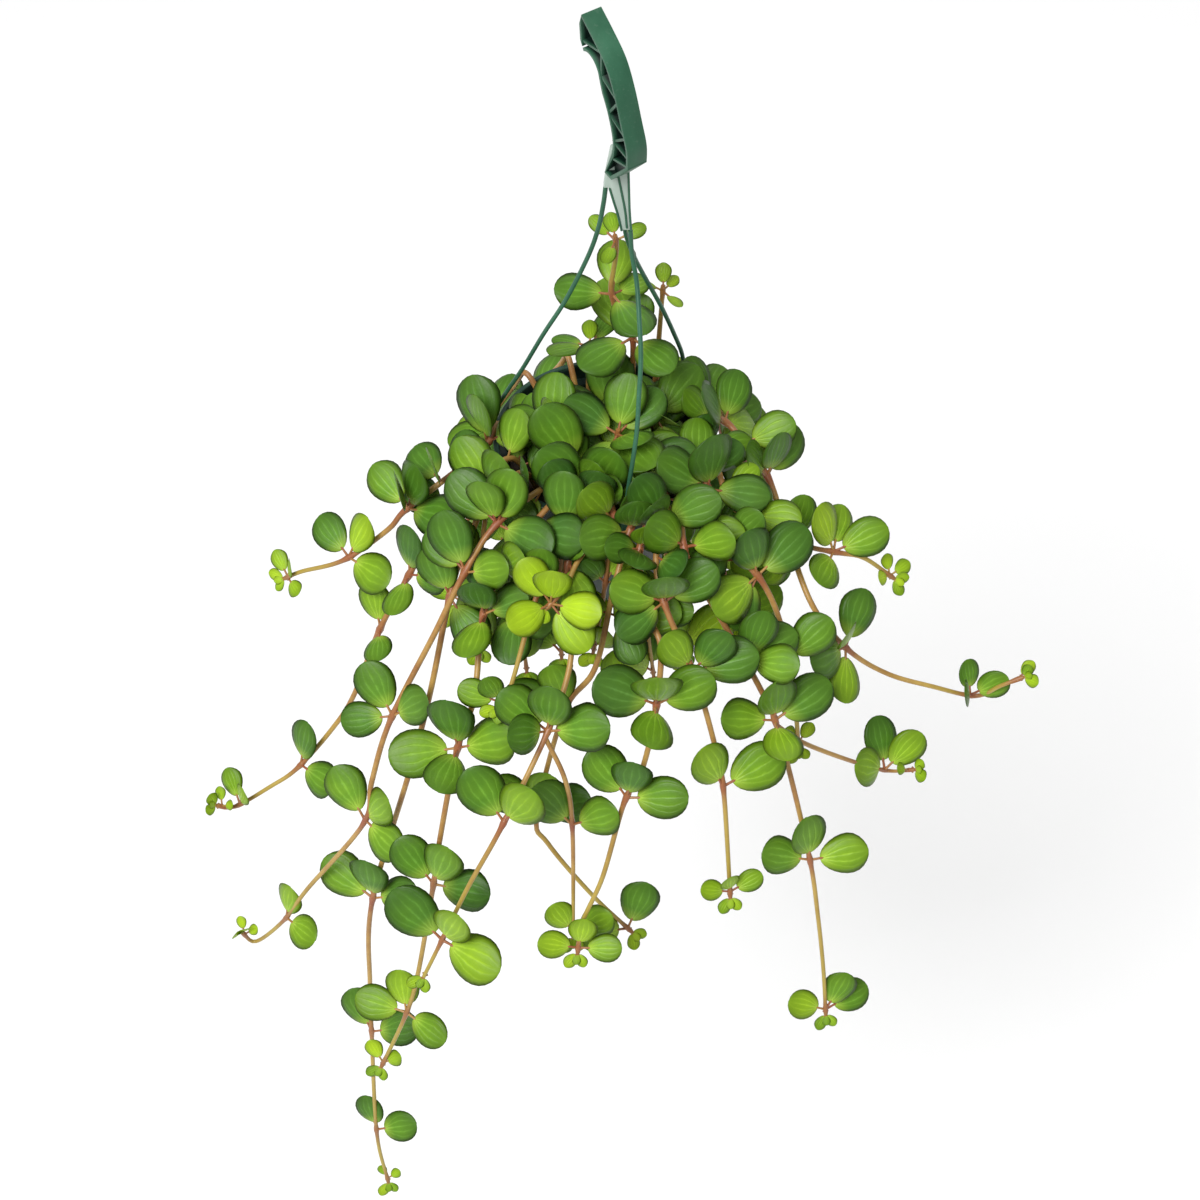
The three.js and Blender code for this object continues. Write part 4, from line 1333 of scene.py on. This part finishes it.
class BladeForm(Enum):
    """The forms that a blade grows in: how narrow its base and tip are, its cup, its fold and its wave."""

    ROUND = (0.14, 0.06, 0.0, 0.014, 0.0)
    CUPPED = (0.21, 0.2, 0.05, 0.022, 0.012)
    FLAT = (0.10, 0.0, -0.03, 0.012, 0.016)
    YOUNG = (0.2, 0.30, 0.04, 0.026, 0.0)


@dataclass(frozen=True)
class Blade:
    """One blade, modelled once in units of its own length and half width, from its base along +Y.

    Each face comes from a flat grid, whose columns become meridians and whose rows go from base to tip.
    """

    form: BladeForm
    rows: int = 12
    meridians: Point = (0.0, 0.38, 0.72, 1.0)  # from the midrib to the edge
    thickness: float = 0.017

    def made(self, finish: bpy.types.Material) -> Piece:
        """Builds the blade as a thin closed form that comes to an edge all round.

        Args:
            finish: the skin.

        Returns:
            The blade.
        """
        faces = [self.face(1.0), self.face(-1.0)]
        blade = Bench.mended(Bench.joined(faces, "blade_" + self.form.name.lower()), 1e-4)
        blade.data.materials.append(finish)
        Bench.take(blade)
        bpy.ops.object.shade_smooth()
        return blade

    def face(self, side: float) -> Piece:
        """One face of the blade.

        Args:
            side: 1 for the upper face and -1 for the lower one.

        Returns:
            The face.
        """
        Bench.clear()
        columns = 2 * (len(self.meridians) - 1)
        bpy.ops.mesh.primitive_grid_add(x_subdivisions=columns, y_subdivisions=self.rows, size=2)
        piece = bpy.context.object
        mesh = piece.data
        shaped = {vertex.index: self.spot(vertex.co.x, vertex.co.y, side) for vertex in mesh.vertices}
        for loop, uv in zip(mesh.loops, mesh.uv_layers.active.data):
            uv.uv = shaped[loop.vertex_index][1]
        for vertex in mesh.vertices:
            vertex.co = shaped[vertex.index][0]
        under = mesh.attributes.new("under", "FLOAT", "CORNER")
        under.data.foreach_set("value", [0.5 - 0.5 * side] * len(mesh.loops))
        if side < 0:
            bpy.ops.object.mode_set(mode="EDIT")
            bpy.ops.mesh.select_all(action="SELECT")
            bpy.ops.mesh.flip_normals()
            bpy.ops.object.mode_set(mode="OBJECT")
        return piece

    def spot(self, x: float, y: float, side: float) -> tuple[Vector, Vector]:
        """Where a point of the flat grid comes on the blade.

        Args:
            x: its place across the grid, from -1 to 1.
            y: its place along the grid, from -1 to 1.
            side: 1 on the upper face and -1 on the lower one.

        Returns:
            The point, and its place in the blade's own map.
        """
        narrowing, point, cup, fold, wave = self.form.value
        meridian = math.copysign(self.meridians[round(abs(x) * (len(self.meridians) - 1))], x)
        theta = (y + 1) / 2 * math.pi
        width = math.sin(theta) * (1 - narrowing * math.cos(theta))
        width *= 1 - point * max(0.0, -math.cos(theta)) ** 3
        across, along = meridian * width, (1 - math.cos(theta)) / 2
        level = BLADE_ARCH * (1 - (2 * along - 1) ** 2) - (BLADE_CUP + cup) * across**2
        level -= fold * max(0.0, 1 - abs(meridian) / self.meridians[1]) * math.sin(theta)
        level += wave * meridian * math.sin(2 * theta + 0.6)
        thick = self.thickness * (1 - meridian**2) * min(1.0, 1.6 * math.sin(theta))
        return Vector((across, along, level + side * thick)), Vector(((meridian + 1) / 2, along))


@dataclass(frozen=True)
class Whorl:
    """A swollen node of a stem, and the leaves that the solids have there."""

    at: Vector
    back: Vector  # the way back along the stem
    size: float  # the blades' length in millimetres
    count: int
    turn: float  # degrees
    share: float  # how far along its stem it stands

    near_axis: ClassVar[float] = 30.0  # a whorl nearer to the pot's axis than this has no way out

    def outward(self) -> Vector:
        """The way out from the pot's axis, or no way at all where the axis is near."""
        flat = Vector((self.at.x - POT_SIDE, self.at.y, 0))
        return flat.normalized() if flat.length > self.near_axis else Vector((0, 0, 0))

    def light(self, lean: float, stray: float, draw: Draws) -> Vector:
        """The way that a blade faces: up and a little forwards.

        Args:
            lean: how much it leans out from the pot.
            stray: how far it strays from that.
            draw: the draws.

        Returns:
            The way, one unit long.
        """
        out = self.outward()
        return Vector((lean * out.x + stray * draw(), lean * out.y - 0.3 + stray * draw(), 0.78)).normalized()


@dataclass(frozen=True)
class Leaf:
    """A leaf in its place: its stalk starts at the node and runs along its axis into the blade."""

    node: Vector
    axis: Vector
    normal: Vector
    size: float
    share: float

    stalk_length: ClassVar[float] = 6.5  # of a large leaf
    breadth: ClassVar[float] = 0.88  # of its length
    stand: ClassVar[float] = 30.0  # degrees that it lifts more where it would lie along its stem
    blade_thickness: ClassVar[float] = 0.9
    small: ClassVar[float] = 17.0  # under this length its solid is a simpler one
    end_along: ClassVar[float] = 0.95  # where the corners at its solid's end lie
    end_across: ClassVar[float] = 0.6

    @classmethod
    def standing(cls, whorl: Whorl, light: Vector, fan: float, lift: float, size: float) -> "Leaf":
        """Stands a leaf on a whorl.

        Args:
            whorl: the node that it grows from.
            light: the way the blade faces.
            fan: its turn from straight up as seen along the light, in degrees.
            lift: how far it stands up towards the light, in degrees.
            size: the blade's length in millimetres.

        Returns:
            The leaf.
        """
        up = (Vector((0, 0, 1)) - light * light.z).normalized()
        flat = up * math.cos(math.radians(fan)) + up.cross(light) * math.sin(math.radians(fan))
        stand = math.radians(lift + cls.stand * flat.dot(whorl.back) ** 2)
        axis = flat * math.cos(stand) + light * math.sin(stand)
        normal = light * math.cos(stand) - flat * math.sin(stand)
        return cls(whorl.at, axis, normal, size, whorl.share)

    @property
    def across(self) -> Vector:
        """The way across the blade."""
        return self.axis.cross(self.normal)

    @property
    def stalk(self) -> float:
        """The stalk's length."""
        return self.stalk_length * min(1.0, 0.4 + self.size / 40)

    @property
    def half(self) -> float:
        """Half of the blade's width."""
        return self.size * self.breadth / 2

    def point(self, across: float, along: float, up: float) -> Vector:
        """A place on the leaf, in metres, from millimetres across, along and off it."""
        return (self.node + self.across * across + self.axis * along + self.normal * up) * MM

    def middle(self) -> Vector:
        """The blade's middle, in metres."""
        return self.point(0, self.stalk + self.size / 2, 0)

    def corners(self) -> list[Vector]:
        """Two corners that the solid of such a leaf has at its end.

        Returns:
            The corners, in metres.
        """
        half, up = self.half, self.blade_thickness / 2
        if self.size < self.small:
            tip = self.stalk + self.size
            return [self.point(0, tip, up), self.point(half, tip - self.size / 2, up + 0.01 * self.size)]
        arch = BLADE_ARCH * (1 - (2 * self.end_along - 1) ** 2)
        level = self.size * (arch - BLADE_CUP * self.end_across**2)
        side, far = self.end_across * half, self.stalk + self.end_along * self.size
        return [self.point(side, far, up + level), self.point(-side, far, level - up)]

    def matrix(self) -> Matrix:
        """Sets a blade that was modelled in units of its own length in place, in metres."""
        return self.basis(self.half, self.size, self.size, self.stalk)

    def stalk_matrix(self) -> Matrix:
        """Sets a stalk that was modelled one millimetre thick and one stalk long in place."""
        thick = 0.55 + 0.012 * self.size
        return self.basis(thick, self.stalk + 0.1 * self.size, thick, 0.0)

    def basis(self, across: float, along: float, up: float, start: float) -> Matrix:
        """The leaf's own axes as a matrix.

        Args:
            across: the scale across the blade, in millimetres.
            along: the scale along it.
            up: the scale off it.
            start: how far along the leaf the pattern's base comes.

        Returns:
            The matrix, which gives metres.
        """
        columns = (self.across * across, self.axis * along, self.normal * up, self.node + self.axis * start)
        matrix = Matrix([[*(column[row] for column in columns)] for row in range(3)]).to_4x4()
        return TO_METRES @ matrix


@dataclass
class StemPart:
    """One line of a stem with its whorls."""

    route: Route
    whorls: list[Whorl]
    bare: list[Whorl]  # its nodes that bear no leaves among the solids
    radius: float


@dataclass
class Stem:
    """A leafy stem with any side stem."""

    name: str
    parts: list[StemPart]
    upright: bool

    coarse: ClassVar[float] = 46.0  # the step along the solids' stems
    node_back: ClassVar[float] = 4.0  # from a point of the way back to its whorl
    thickness: ClassVar[float] = 1.8  # a stem's radius
    side_share: ClassVar[float] = 0.8  # of it on a side stem
    bare_size: ClassVar[float] = 27.0  # of what a bare node may bear

    @classmethod
    def grown(cls, name: str, ways: Sequence[Sequence[Point]], upright: bool) -> "Stem":
        """Grows a stem along its ways, by the rules of the solids.

        Args:
            name: its solid's name.
            ways: its own way, and then its side stem's.
            upright: whether its leaves stand all round it.

        Returns:
            The stem.
        """
        parts = []
        for order, way in enumerate(ways):
            route = Route([place(point) for point in way])
            whorls, bare = [], []
            for index, point in enumerate(way[1:], 1):
                steps = route.steps(index - 1, cls.coarse)
                ring = route.points[index]
                back = (route.at(index - 1, (steps - 1) / steps) - ring).normalized()
                leafy = point[3:] or (cls.bare_size, 0, 0)
                whorl = Whorl(ring + back * cls.node_back, back, *leafy, index / (len(way) - 1))
                (whorls if whorl.count else bare).append(whorl)
            parts.append(StemPart(route, whorls, bare, cls.thickness * (cls.side_share if order else 1)))
        return cls(name, parts, upright)

    @property
    def in_crown(self) -> bool:
        """Whether it is a short stem of the crown."""
        return self.name.startswith("stem_crown")

    @property
    def behind(self) -> bool:
        """Whether it hangs behind."""
        return self.name.startswith("stem_back")

    @property
    def is_shoot(self) -> bool:
        """Whether it is an upright shoot."""
        return self.name.startswith("shoot")


class Surroundings:
    """Everything that a further leaf keeps clear of: the solids, and the leaves added so far."""

    near: ClassVar[float] = 0.045  # metres from middle to middle, past which no two leaves touch
    sides: ClassVar[int] = 10
    wider: ClassVar[float] = 1.02  # the shell than its leaf
    longer: ClassVar[float] = 1.03
    half_shell: ClassVar[float] = 0.75
    start: ClassVar[float] = 3.2  # how far up the stalk the shell starts

    def __init__(self, nodes: Iterable[Piece]) -> None:
        """Takes in the solids.

        Args:
            nodes: the solids.
        """
        spots, faces = [], []
        for node in nodes:
            first = len(spots)
            spots += [vertex.co.copy() for vertex in node.data.vertices]
            faces += [tuple(first + k for k in polygon.vertices) for polygon in node.data.polygons]
        self.solids = BVHTree.FromPolygons(spots, faces)
        self.added: list[tuple[Vector, BVHTree]] = []

    def takes(self, leaf: Leaf) -> bool:
        """Adds a leaf if it is clear of all that stands there.

        Args:
            leaf: the leaf.

        Returns:
            Whether it was added.
        """
        cage = self.cage(leaf)
        if cage.overlap(self.solids):
            return False
        middle = leaf.middle()
        if any(cage.overlap(tree) for spot, tree in self.added if (spot - middle).length < self.near):
            return False
        self.added.append((middle, cage))
        return True

    def cage(self, leaf: Leaf) -> BVHTree:
        """A thin closed shell round a leaf, from a little way up its stalk to its tip.

        Args:
            leaf: the leaf.

        Returns:
            The shell.
        """
        half, size, stalk = leaf.half, leaf.size, leaf.stalk
        turns = [k * math.tau / self.sides for k in range(self.sides)]
        wide, long = half * self.wider, self.longer
        rim = [(wide * math.sin(t), stalk + size / 2 * (1 - long * math.cos(t))) for t in turns]
        rim[0] = (0.0, self.start)
        spots = []
        for up in (self.half_shell, -self.half_shell):
            for x, y in rim:
                u, v = 2 * (y - stalk) / size - 1, x / half
                level = size * (BLADE_ARCH * (1 - u * u) - BLADE_CUP * v * v) if y > stalk else 0.0
                spots.append(leaf.point(x, y, level + up))
            spots.append(leaf.point(0, stalk + size / 2, BLADE_ARCH * size + up))
        count = self.sides
        faces = []
        for k in range(count):
            after = (k + 1) % count
            faces.append((k, after, count))
            faces.append((count + 1 + after, count + 1 + k, 2 * count + 1))
            faces.append((k, count + 1 + k, count + 1 + after, after))
        return BVHTree.FromPolygons(spots, faces)


@dataclass
class Growth:
    """The rules that the solids' stems and leaves grow by, followed again with the same draws."""

    draw: Draws
    crown_stems: int = 8
    crown_turn: float = 137.5  # degrees from one stem of the crown to the next
    crown_forward: float = 18.0
    over_rim: Sequence[Point] = ((46, -24), (58, -2), (70, 8.5), (80, -8))  # radius and height of a back stem
    back_radius: float = 74.0
    back_spread: float = 3.4
    back_start: float = 58.0  # how far under the rim the first whorl hangs
    back_settling: float = 80.0  # how soon a back stem takes its lower bearing
    growth: float = 1.1
    fan: float = 66.0  # between the leaves of a hanging whorl, in degrees
    match: float = 0.08 * MM  # how near a leaf's corners come to those of its solid

    def stems(self) -> list[Stem]:
        """All the stems, in the order that the solids grow in.

        Returns:
            The stems.
        """
        stems = []
        for name, way in TRAILERS.items():
            ways = [way, BRANCHES[name]] if name in BRANCHES else [way]
            stems.append(Stem.grown(name, ways, name.startswith("shoot")))
        for index, bearings in enumerate(BACK_STEMS):
            stems.append(Stem.grown(f"stem_back_{index + 1}", [self.hanging_way(bearings)], False))
        for index in range(self.crown_stems):
            stems.append(Stem.grown(f"stem_crown_{index + 1}", [self.crown_way(index)], True))
        return stems

    @staticmethod
    def around(bearing: float, radius: float, height: float) -> Point:
        """A point of a way behind the pot, by its bearing in degrees."""
        turn = math.radians(bearing)
        return (radius * math.cos(turn), -radius * math.sin(turn), height)

    def hanging_way(self, bearings: Point) -> list[Point]:
        """The way of a stem that hangs behind.

        Args:
            bearings: its bearing at the rim and below it, and how far it hangs.

        Returns:
            The way's points.
        """
        rim_bearing, low_bearing, reach = bearings
        way = [self.around(rim_bearing, radius, height) for radius, height in self.over_rim]
        drop = self.back_start
        while drop < reach:
            share = drop / reach
            settled = 1 - math.exp(-drop / self.back_settling)
            bearing = rim_bearing + (low_bearing - rim_bearing) * settled
            spot = self.around(bearing, self.back_radius + self.back_spread * math.sqrt(drop), -drop)
            way.append((*spot, 28 - 13 * share**3, 2 if share > 0.4 else 3, 25 * self.draw()))
            drop += 84 + 16 * self.draw()
        return way

    def crown_way(self, index: int) -> list[Point]:
        """The way of a short stem of the crown.

        Args:
            index: the stem's number.

        Returns:
            The way's points.
        """
        turn, radius = math.radians(index * self.crown_turn), 6 + 10 * math.sqrt(index)
        top = 24 - 0.3 * radius + 6 * self.draw()
        rises = ((1, -24), (1.05, -6), (1.15, 4), (1.4, top))
        foot, bend, low, high = (
            (radius * grow * math.cos(turn), radius * grow * math.sin(turn) + self.crown_forward, height)
            for grow, height in rises
        )
        return [foot, bend, (*low, 27, 2, 180 * self.draw()), (*high, 28, 4, 180 * self.draw())]

    def leaves(self, stem: Stem) -> list[Leaf]:
        """The leaves of a stem: each takes the stance that its solid was found clear in.

        Args:
            stem: the stem.

        Returns:
            The leaves that its solid has.
        """
        draw = self.draw
        spots = finder([vertex.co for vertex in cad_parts[stem.name].data.vertices])
        leaves = []
        for whorl in (whorl for part in stem.parts for whorl in part.whorls):
            spread = 360 / whorl.count if stem.upright else self.fan
            for k in range(whorl.count):
                fan = whorl.turn + spread * (k - (whorl.count - 1) / 2) + 9 * draw()
                light = whorl.light(0.45, 0.12, draw)
                lift = 12 + 6 * draw()
                size = self.growth * whorl.size * (1 + 0.1 * draw())
                for leaf in self.stances(whorl, light, fan, lift, size):
                    if all(spots.find(corner)[2] < self.match for corner in leaf.corners()):
                        leaves.append(leaf)
                        break
        return leaves

    @staticmethod
    def stances(whorl: Whorl, light: Vector, fan: float, lift: float, size: float) -> Iterable[Leaf]:
        """The stances that a leaf may take, in order.

        Args:
            whorl: the node that it grows from.
            light: the way the blade faces.
            fan: its first turn, in degrees.
            lift: its first lift, in degrees.
            size: its full length.

        Returns:
            The leaf in each stance.
        """
        for part, raised, swing in product((1, 0.9, 0.8, 0.68), (0, 13, -12, 26), (0, 12, -12, 25, -25)):
            yield Leaf.standing(whorl, light, fan + swing, lift + raised, size * part)


@dataclass
class Filling:
    """The leaves that fill the gaps of the whorls, each clear of all that stands there."""

    draw: Draws
    surroundings: Surroundings
    shares: Point = (1.0, 0.85, 0.7)  # of the whorl's blades, tried from the largest down
    lifts: Point = (8, 30, 52, -14)  # degrees, by turns
    tries: int = 14  # at each share
    turn: float = 137.5  # degrees from one try to the next
    large: float = 20.0
    leafy_share: float = 0.65  # of a long stem, past which its whorls stay as they are

    def leaves(self, stem: Stem) -> list[Leaf]:
        """The leaves that are added to a stem.

        Args:
            stem: the stem.

        Returns:
            The leaves.
        """
        leaves = []
        for whorl in (whorl for part in stem.parts for whorl in (*part.whorls, *part.bare)):
            wanted = self.wanted(stem, whorl)
            start = 180 * self.draw()
            for share, k in product(self.shares, range(self.tries)):
                if wanted <= 0:
                    break
                light = whorl.light(0.5, 0.25, self.draw)
                lift = self.lifts[k % len(self.lifts)] + 8 * self.draw()
                leaf = Leaf.standing(whorl, light, start + k * self.turn, lift, whorl.size * share)
                if self.surroundings.takes(leaf):
                    leaves.append(leaf)
                    wanted -= 1
        return leaves

    def wanted(self, stem: Stem, whorl: Whorl) -> int:
        """How many more leaves a whorl takes at most.

        Args:
            stem: the whorl's stem.
            whorl: the whorl.

        Returns:
            The number: none where the bare rim shows behind, and on shoots and the bright stem.
        """
        side, back, height = whorl.at.x, whorl.at.y, whorl.at.z + RIM_DROP
        bare_rim = back > 5 and side < 60 and height > -90
        if stem.is_shoot or stem.name == "stem_front_bright" or bare_rim:
            return 0
        if not whorl.count:
            near_rim = Vector((side - POT_SIDE, back)).length < 125 and back < 30 and height > -30
            return 2 if near_rim else 0
        if stem.in_crown or stem.behind:
            return 2
        return 1 if whorl.size > self.large and whorl.share < self.leafy_share else 0


@dataclass
class Plant:
    """The plant: its stems by name, each dressed with finer leaves where the solids have theirs."""

    seed: int = 20417
    finer_seed: int = 77003
    stem_step: float = 3.5
    rod_swell: float = 1.1  # of a stem over its solid
    tip_share: float = 0.68  # of a stem's radius at its tip
    node_swell: float = 0.42
    node_reach: float = 3.4
    blush: float = 0.85  # how red a stem is at a node
    blush_reach: float = 11.0
    swell: Point = (1.02, 1.08, 1.05)  # of a blade over its solid, across, along and up
    crown_swell: Point = (1.12, 1.16, 1.1)
    top_swell: Point = (0.62, 0.8, 0.9)  # of the young blades at the top of a shoot
    young: float = 15.0  # a blade is a young one under this length
    hanging_buds: Sequence[Point] = ((10, -40, 28), (8.5, 36, 24), (6.5, -4, 38))  # length, turn and rise
    top_buds: Sequence[Point] = ((11.5, 4, -32),)
    bud_sunk: float = 2.8
    stalk_profile: Sequence[Point] = ((1.25, 0.0), (1.05, 0.2), (0.9, 0.55), (1.0, 0.82), (0.55, 1.0))
    leaf_finish: LeafFinish = LeafFinish()
    stem_finish: StemFinish = StemFinish()
    blades: dict[BladeForm, Piece] = field(init=False)
    stalk: Piece = field(init=False)

    def made(self) -> list[Piece]:
        """Grows the plant.

        Returns:
            One piece for each leafy stem.
        """
        growth, finer = Growth(Draws(self.seed)), Draws(self.finer_seed)
        stems = growth.stems()
        leaves = {stem.name: growth.leaves(stem) for stem in stems}
        filling = Filling(finer, Surroundings(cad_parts.values()))
        for stem in stems:
            leaves[stem.name] += filling.leaves(stem)
        skin, bark = self.leaf_finish.made(), self.stem_finish.made()
        self.blades = {form: Blade(form).made(skin) for form in BladeForm}
        self.stalk = self.stalk_pattern(bark)
        pieces = [self.leafy(stem, leaves[stem.name], bark, finer) for stem in stems]
        for pattern in (*self.blades.values(), self.stalk):
            bpy.data.objects.remove(pattern)
        return pieces

    def stalk_pattern(self, bark: bpy.types.Material) -> Piece:
        """A leaf's stalk, modelled once along +Y, a little thicker at both its ends.

        Args:
            bark: its skin.

        Returns:
            The stalk.
        """
        stalk = Bench.turned(self.stalk_profile, 6)
        stalk.data.transform(Matrix.Rotation(-math.pi / 2, 4, "X"))
        Bench.take(stalk)
        bpy.ops.object.shade_smooth()
        stalk.data.materials.append(bark)
        return stalk

    def leafy(self, stem: Stem, leaves: Sequence[Leaf], bark: bpy.types.Material, draw: Draws) -> Piece:
        """Makes one piece of a stem and its leaves.

        Args:
            stem: the stem.
            leaves: its leaves, without the buds at its tips.
            bark: the stem's skin.
            draw: the draws.

        Returns:
            The piece, dressed and riding on the part.
        """
        parts = [self.rod(part, bark) for part in stem.parts]
        shown = [leaf for leaf in leaves if not (stem.in_crown and self.hides_rim(leaf))]
        LOG.info("%s: %d of %d leaves", stem.name, len(shown), len(leaves))
        for leaf in shown:
            parts += self.placed(stem, leaf, draw, False)
        if not stem.in_crown:
            for bud in (bud for part in stem.parts for bud in self.buds(part, stem.upright)):
                parts += self.placed(stem, bud, draw, True)
        whole = Bench.joined(parts, stem.name.replace("stem_", "leafy_").replace("shoot_", "leafy_shoot_"))
        return dressed(whole, stem.name)

    @staticmethod
    def hides_rim(leaf: Leaf) -> bool:
        """Whether a leaf stands before the bare rim at the back."""
        side, back, height = leaf.middle() / MM
        return back > 26 and -80 < side < 48 and height > -RIM_DROP - 15

    def buds(self, part: StemPart, upright: bool) -> list[Leaf]:
        """The tiny young leaves that close the tip of a line.

        Args:
            part: the line.
            upright: whether its stem is upright.

        Returns:
            The leaves.
        """
        *_, before, end = part.route.line(self.stem_step)
        ahead = (end - before).normalized()
        side = ahead.cross(Vector((0, -0.6, 0.8))).normalized()
        normal = side.cross(ahead)
        buds = []
        for size, turn, rise in self.top_buds if upright else self.hanging_buds:
            turned = Matrix.Rotation(math.radians(turn), 3, normal)
            raised = Matrix.Rotation(math.radians(rise), 3, turned @ side)
            axis = raised @ turned @ ahead
            buds.append(Leaf(end - self.bud_sunk * axis, axis, raised @ normal, size, 1.0))
        return buds

    def placed(self, stem: Stem, leaf: Leaf, draw: Draws, bud: bool) -> list[Piece]:
        """A leaf's blade and stalk in their places, with their age and tone.

        Args:
            stem: the stem that it grows on.
            leaf: the leaf.
            draw: the draws.
            bud: whether it is one of the tiny leaves at a tip.

        Returns:
            The blade and the stalk.
        """
        youth = BRIGHT_TIPS.get(stem.name, 0.0) * leaf.share**2 + 0.65 * max(0.0, 1 - leaf.size / 23)
        youth += (0.0 if stem.in_crown else 0.2 * leaf.share**2) - (0.15 if bud else 0.0)
        age = min(1.0, max(0.0, 0.77 - youth + 0.2 * draw()))
        forms = (BladeForm.ROUND, BladeForm.CUPPED, BladeForm.FLAT)
        form = BladeForm.YOUNG if leaf.size < self.young else forms[int(1.5 + 1.49 * draw())]
        swell = self.crown_swell if stem.in_crown else self.swell
        if stem.is_shoot and leaf.share == 1 and not bud:
            swell = self.top_swell
        blade = Bench.copied(self.blades[form], leaf.matrix() @ Matrix.Diagonal((*swell, 1)))
        stalk = Bench.copied(self.stalk, leaf.stalk_matrix())
        Bench.marked(blade, age=age, tone=draw())
        Bench.marked(stalk, red=0.55 + 0.35 * draw(), along=0.4 + 0.6 * (1 - age))
        return [blade, stalk]

    def rod(self, part: StemPart, bark: bpy.types.Material) -> Piece:
        """A stem's own rod: swollen at the nodes and thinner towards its tip.

        Args:
            part: the line that it follows.
            bark: its skin.

        Returns:
            The rod.
        """
        line = part.route.line(self.stem_step)
        last = len(line) - 1
        nodes = [whorl.at for whorl in part.whorls]
        radii = []
        for index, spot in enumerate(line):
            radius = self.rod_swell * part.radius * (1 + (self.tip_share - 1) * (index / last) ** 2)
            nearest = min((spot - node).length for node in nodes)
            radii.append(radius * (1 + self.node_swell * math.exp(-((nearest / self.node_reach) ** 2))))
        rod = Bench.tube(line, radii, 2)
        centres = finder(line)
        along = [centres.find(vertex.co)[1] / last for vertex in rod.data.vertices]
        gaps = [min((vertex.co - node).length for node in nodes) for vertex in rod.data.vertices]
        red = [self.blush * math.exp(-((gap / self.blush_reach) ** 2)) for gap in gaps]
        Bench.marked(rod, along=along, red=red)
        rod.data.transform(TO_METRES)
        rod.data.materials.clear()
        rod.data.materials.append(bark)
        return Bench.smooth(rod, 80)


@dataclass(frozen=True)
class Lamp:
    """A square soft lamp."""

    name: str
    spot: Point
    size: float
    power: float

    def made(self, target: Point) -> None:
        """Hangs the lamp.

        Args:
            target: what it shines at.
        """
        light = bpy.data.lights.new(self.name, "AREA")
        light.size = self.size
        light.energy = self.power
        lamp = bpy.data.objects.new(self.name, light)
        lamp.location = self.spot
        lamp.rotation_euler = (Vector(target) - Vector(self.spot)).to_track_quat("-Z", "Y").to_euler()
        bpy.context.scene.collection.objects.link(lamp)


@dataclass
class Studio:
    """The pale floor, the soft lights and the camera, in metres and degrees."""

    reach: float = 1.5  # from the camera to the middle of the rim
    elevation: float = 46.0
    pitch: float = 49.92
    side: float = 0.0002
    focal_pixels: float = 2379.0
    sensor: float = 36.0  # millimetres
    view_end: float = 30.0
    floor_height: float = -1.45
    floor_size: float = 14.0
    paper: Colour = (0.97, 0.97, 0.97)
    sky: float = 0.38
    sun: float = 2.3
    sun_from: Point = (-0.42, -0.62, 1.0)
    sun_width: float = 30.0
    lamps: Sequence[Lamp] = (
        Lamp("key", (-0.75, -1.0, 0.95), 1.1, 10.0), Lamp("back", (0.4, 1.1, 0.9), 1.2, 7.0),
    )
    target: Point = (0.0, -0.05, -0.42)

    def made(self) -> None:
        """Sets up the floor, the lights and the camera."""
        bpy.context.scene.view_settings.view_transform = "Standard"
        self.soft_sky()
        self.floor()
        self.daylight()
        for lamp in self.lamps:
            lamp.made(self.target)
        self.camera()

    def soft_sky(self) -> None:
        """An even soft light from all round."""
        world = bpy.data.worlds.new("soft_sky")
        world.use_nodes = True
        sky = world.node_tree.nodes["Background"]
        sky.inputs["Color"].default_value = (1.0, 1.0, 1.0, 1.0)
        sky.inputs["Strength"].default_value = self.sky
        bpy.context.scene.world = world

    def floor(self) -> None:
        """The pale floor, well below the lowest tip."""
        Bench.clear()
        bpy.ops.mesh.primitive_plane_add(size=self.floor_size, location=(0, 0, self.floor_height))
        floor = bpy.context.object
        floor.name = "studio_floor"
        graph = Graph("studio_floor")
        graph.set(Base_Color=self.paper, Roughness=0.9)
        floor.data.materials.append(graph.material)

    def daylight(self) -> None:
        """A broad soft light from the front, the left and above."""
        light = bpy.data.lights.new("daylight", "SUN")
        light.energy = self.sun
        light.angle = math.radians(self.sun_width)
        lamp = bpy.data.objects.new("daylight", light)
        lamp.rotation_euler = Vector(self.sun_from).to_track_quat("Z", "Y").to_euler()
        bpy.context.scene.collection.objects.link(lamp)

    def camera(self) -> None:
        """The camera, in front of the plant and above it."""
        data = bpy.data.cameras.new("camera")
        data.sensor_width = self.sensor
        data.lens = self.focal_pixels / PHOTO_SIZE * self.sensor
        data.clip_end = self.view_end
        camera = bpy.data.objects.new("camera", data)
        tilt = math.radians(self.elevation)
        height = -RIM_DROP * MM + self.reach * math.sin(tilt)
        camera.location = (self.side, -self.reach * math.cos(tilt), height)
        camera.rotation_euler = (math.radians(90 - self.pitch), 0, 0)
        bpy.context.scene.collection.objects.link(camera)
        bpy.context.scene.camera = camera


def main() -> None:
    """Builds and dresses every piece."""
    logging.basicConfig(level=logging.INFO, format="%(message)s")
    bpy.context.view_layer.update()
    Studio().made()
    for piece in (*Hanger().made(), Pot().made(), Soil().made(), *Plant().made()):
        LOG.info("%s: %d faces", piece.name, len(piece.data.polygons))


if __name__ == "__main__":
    main()
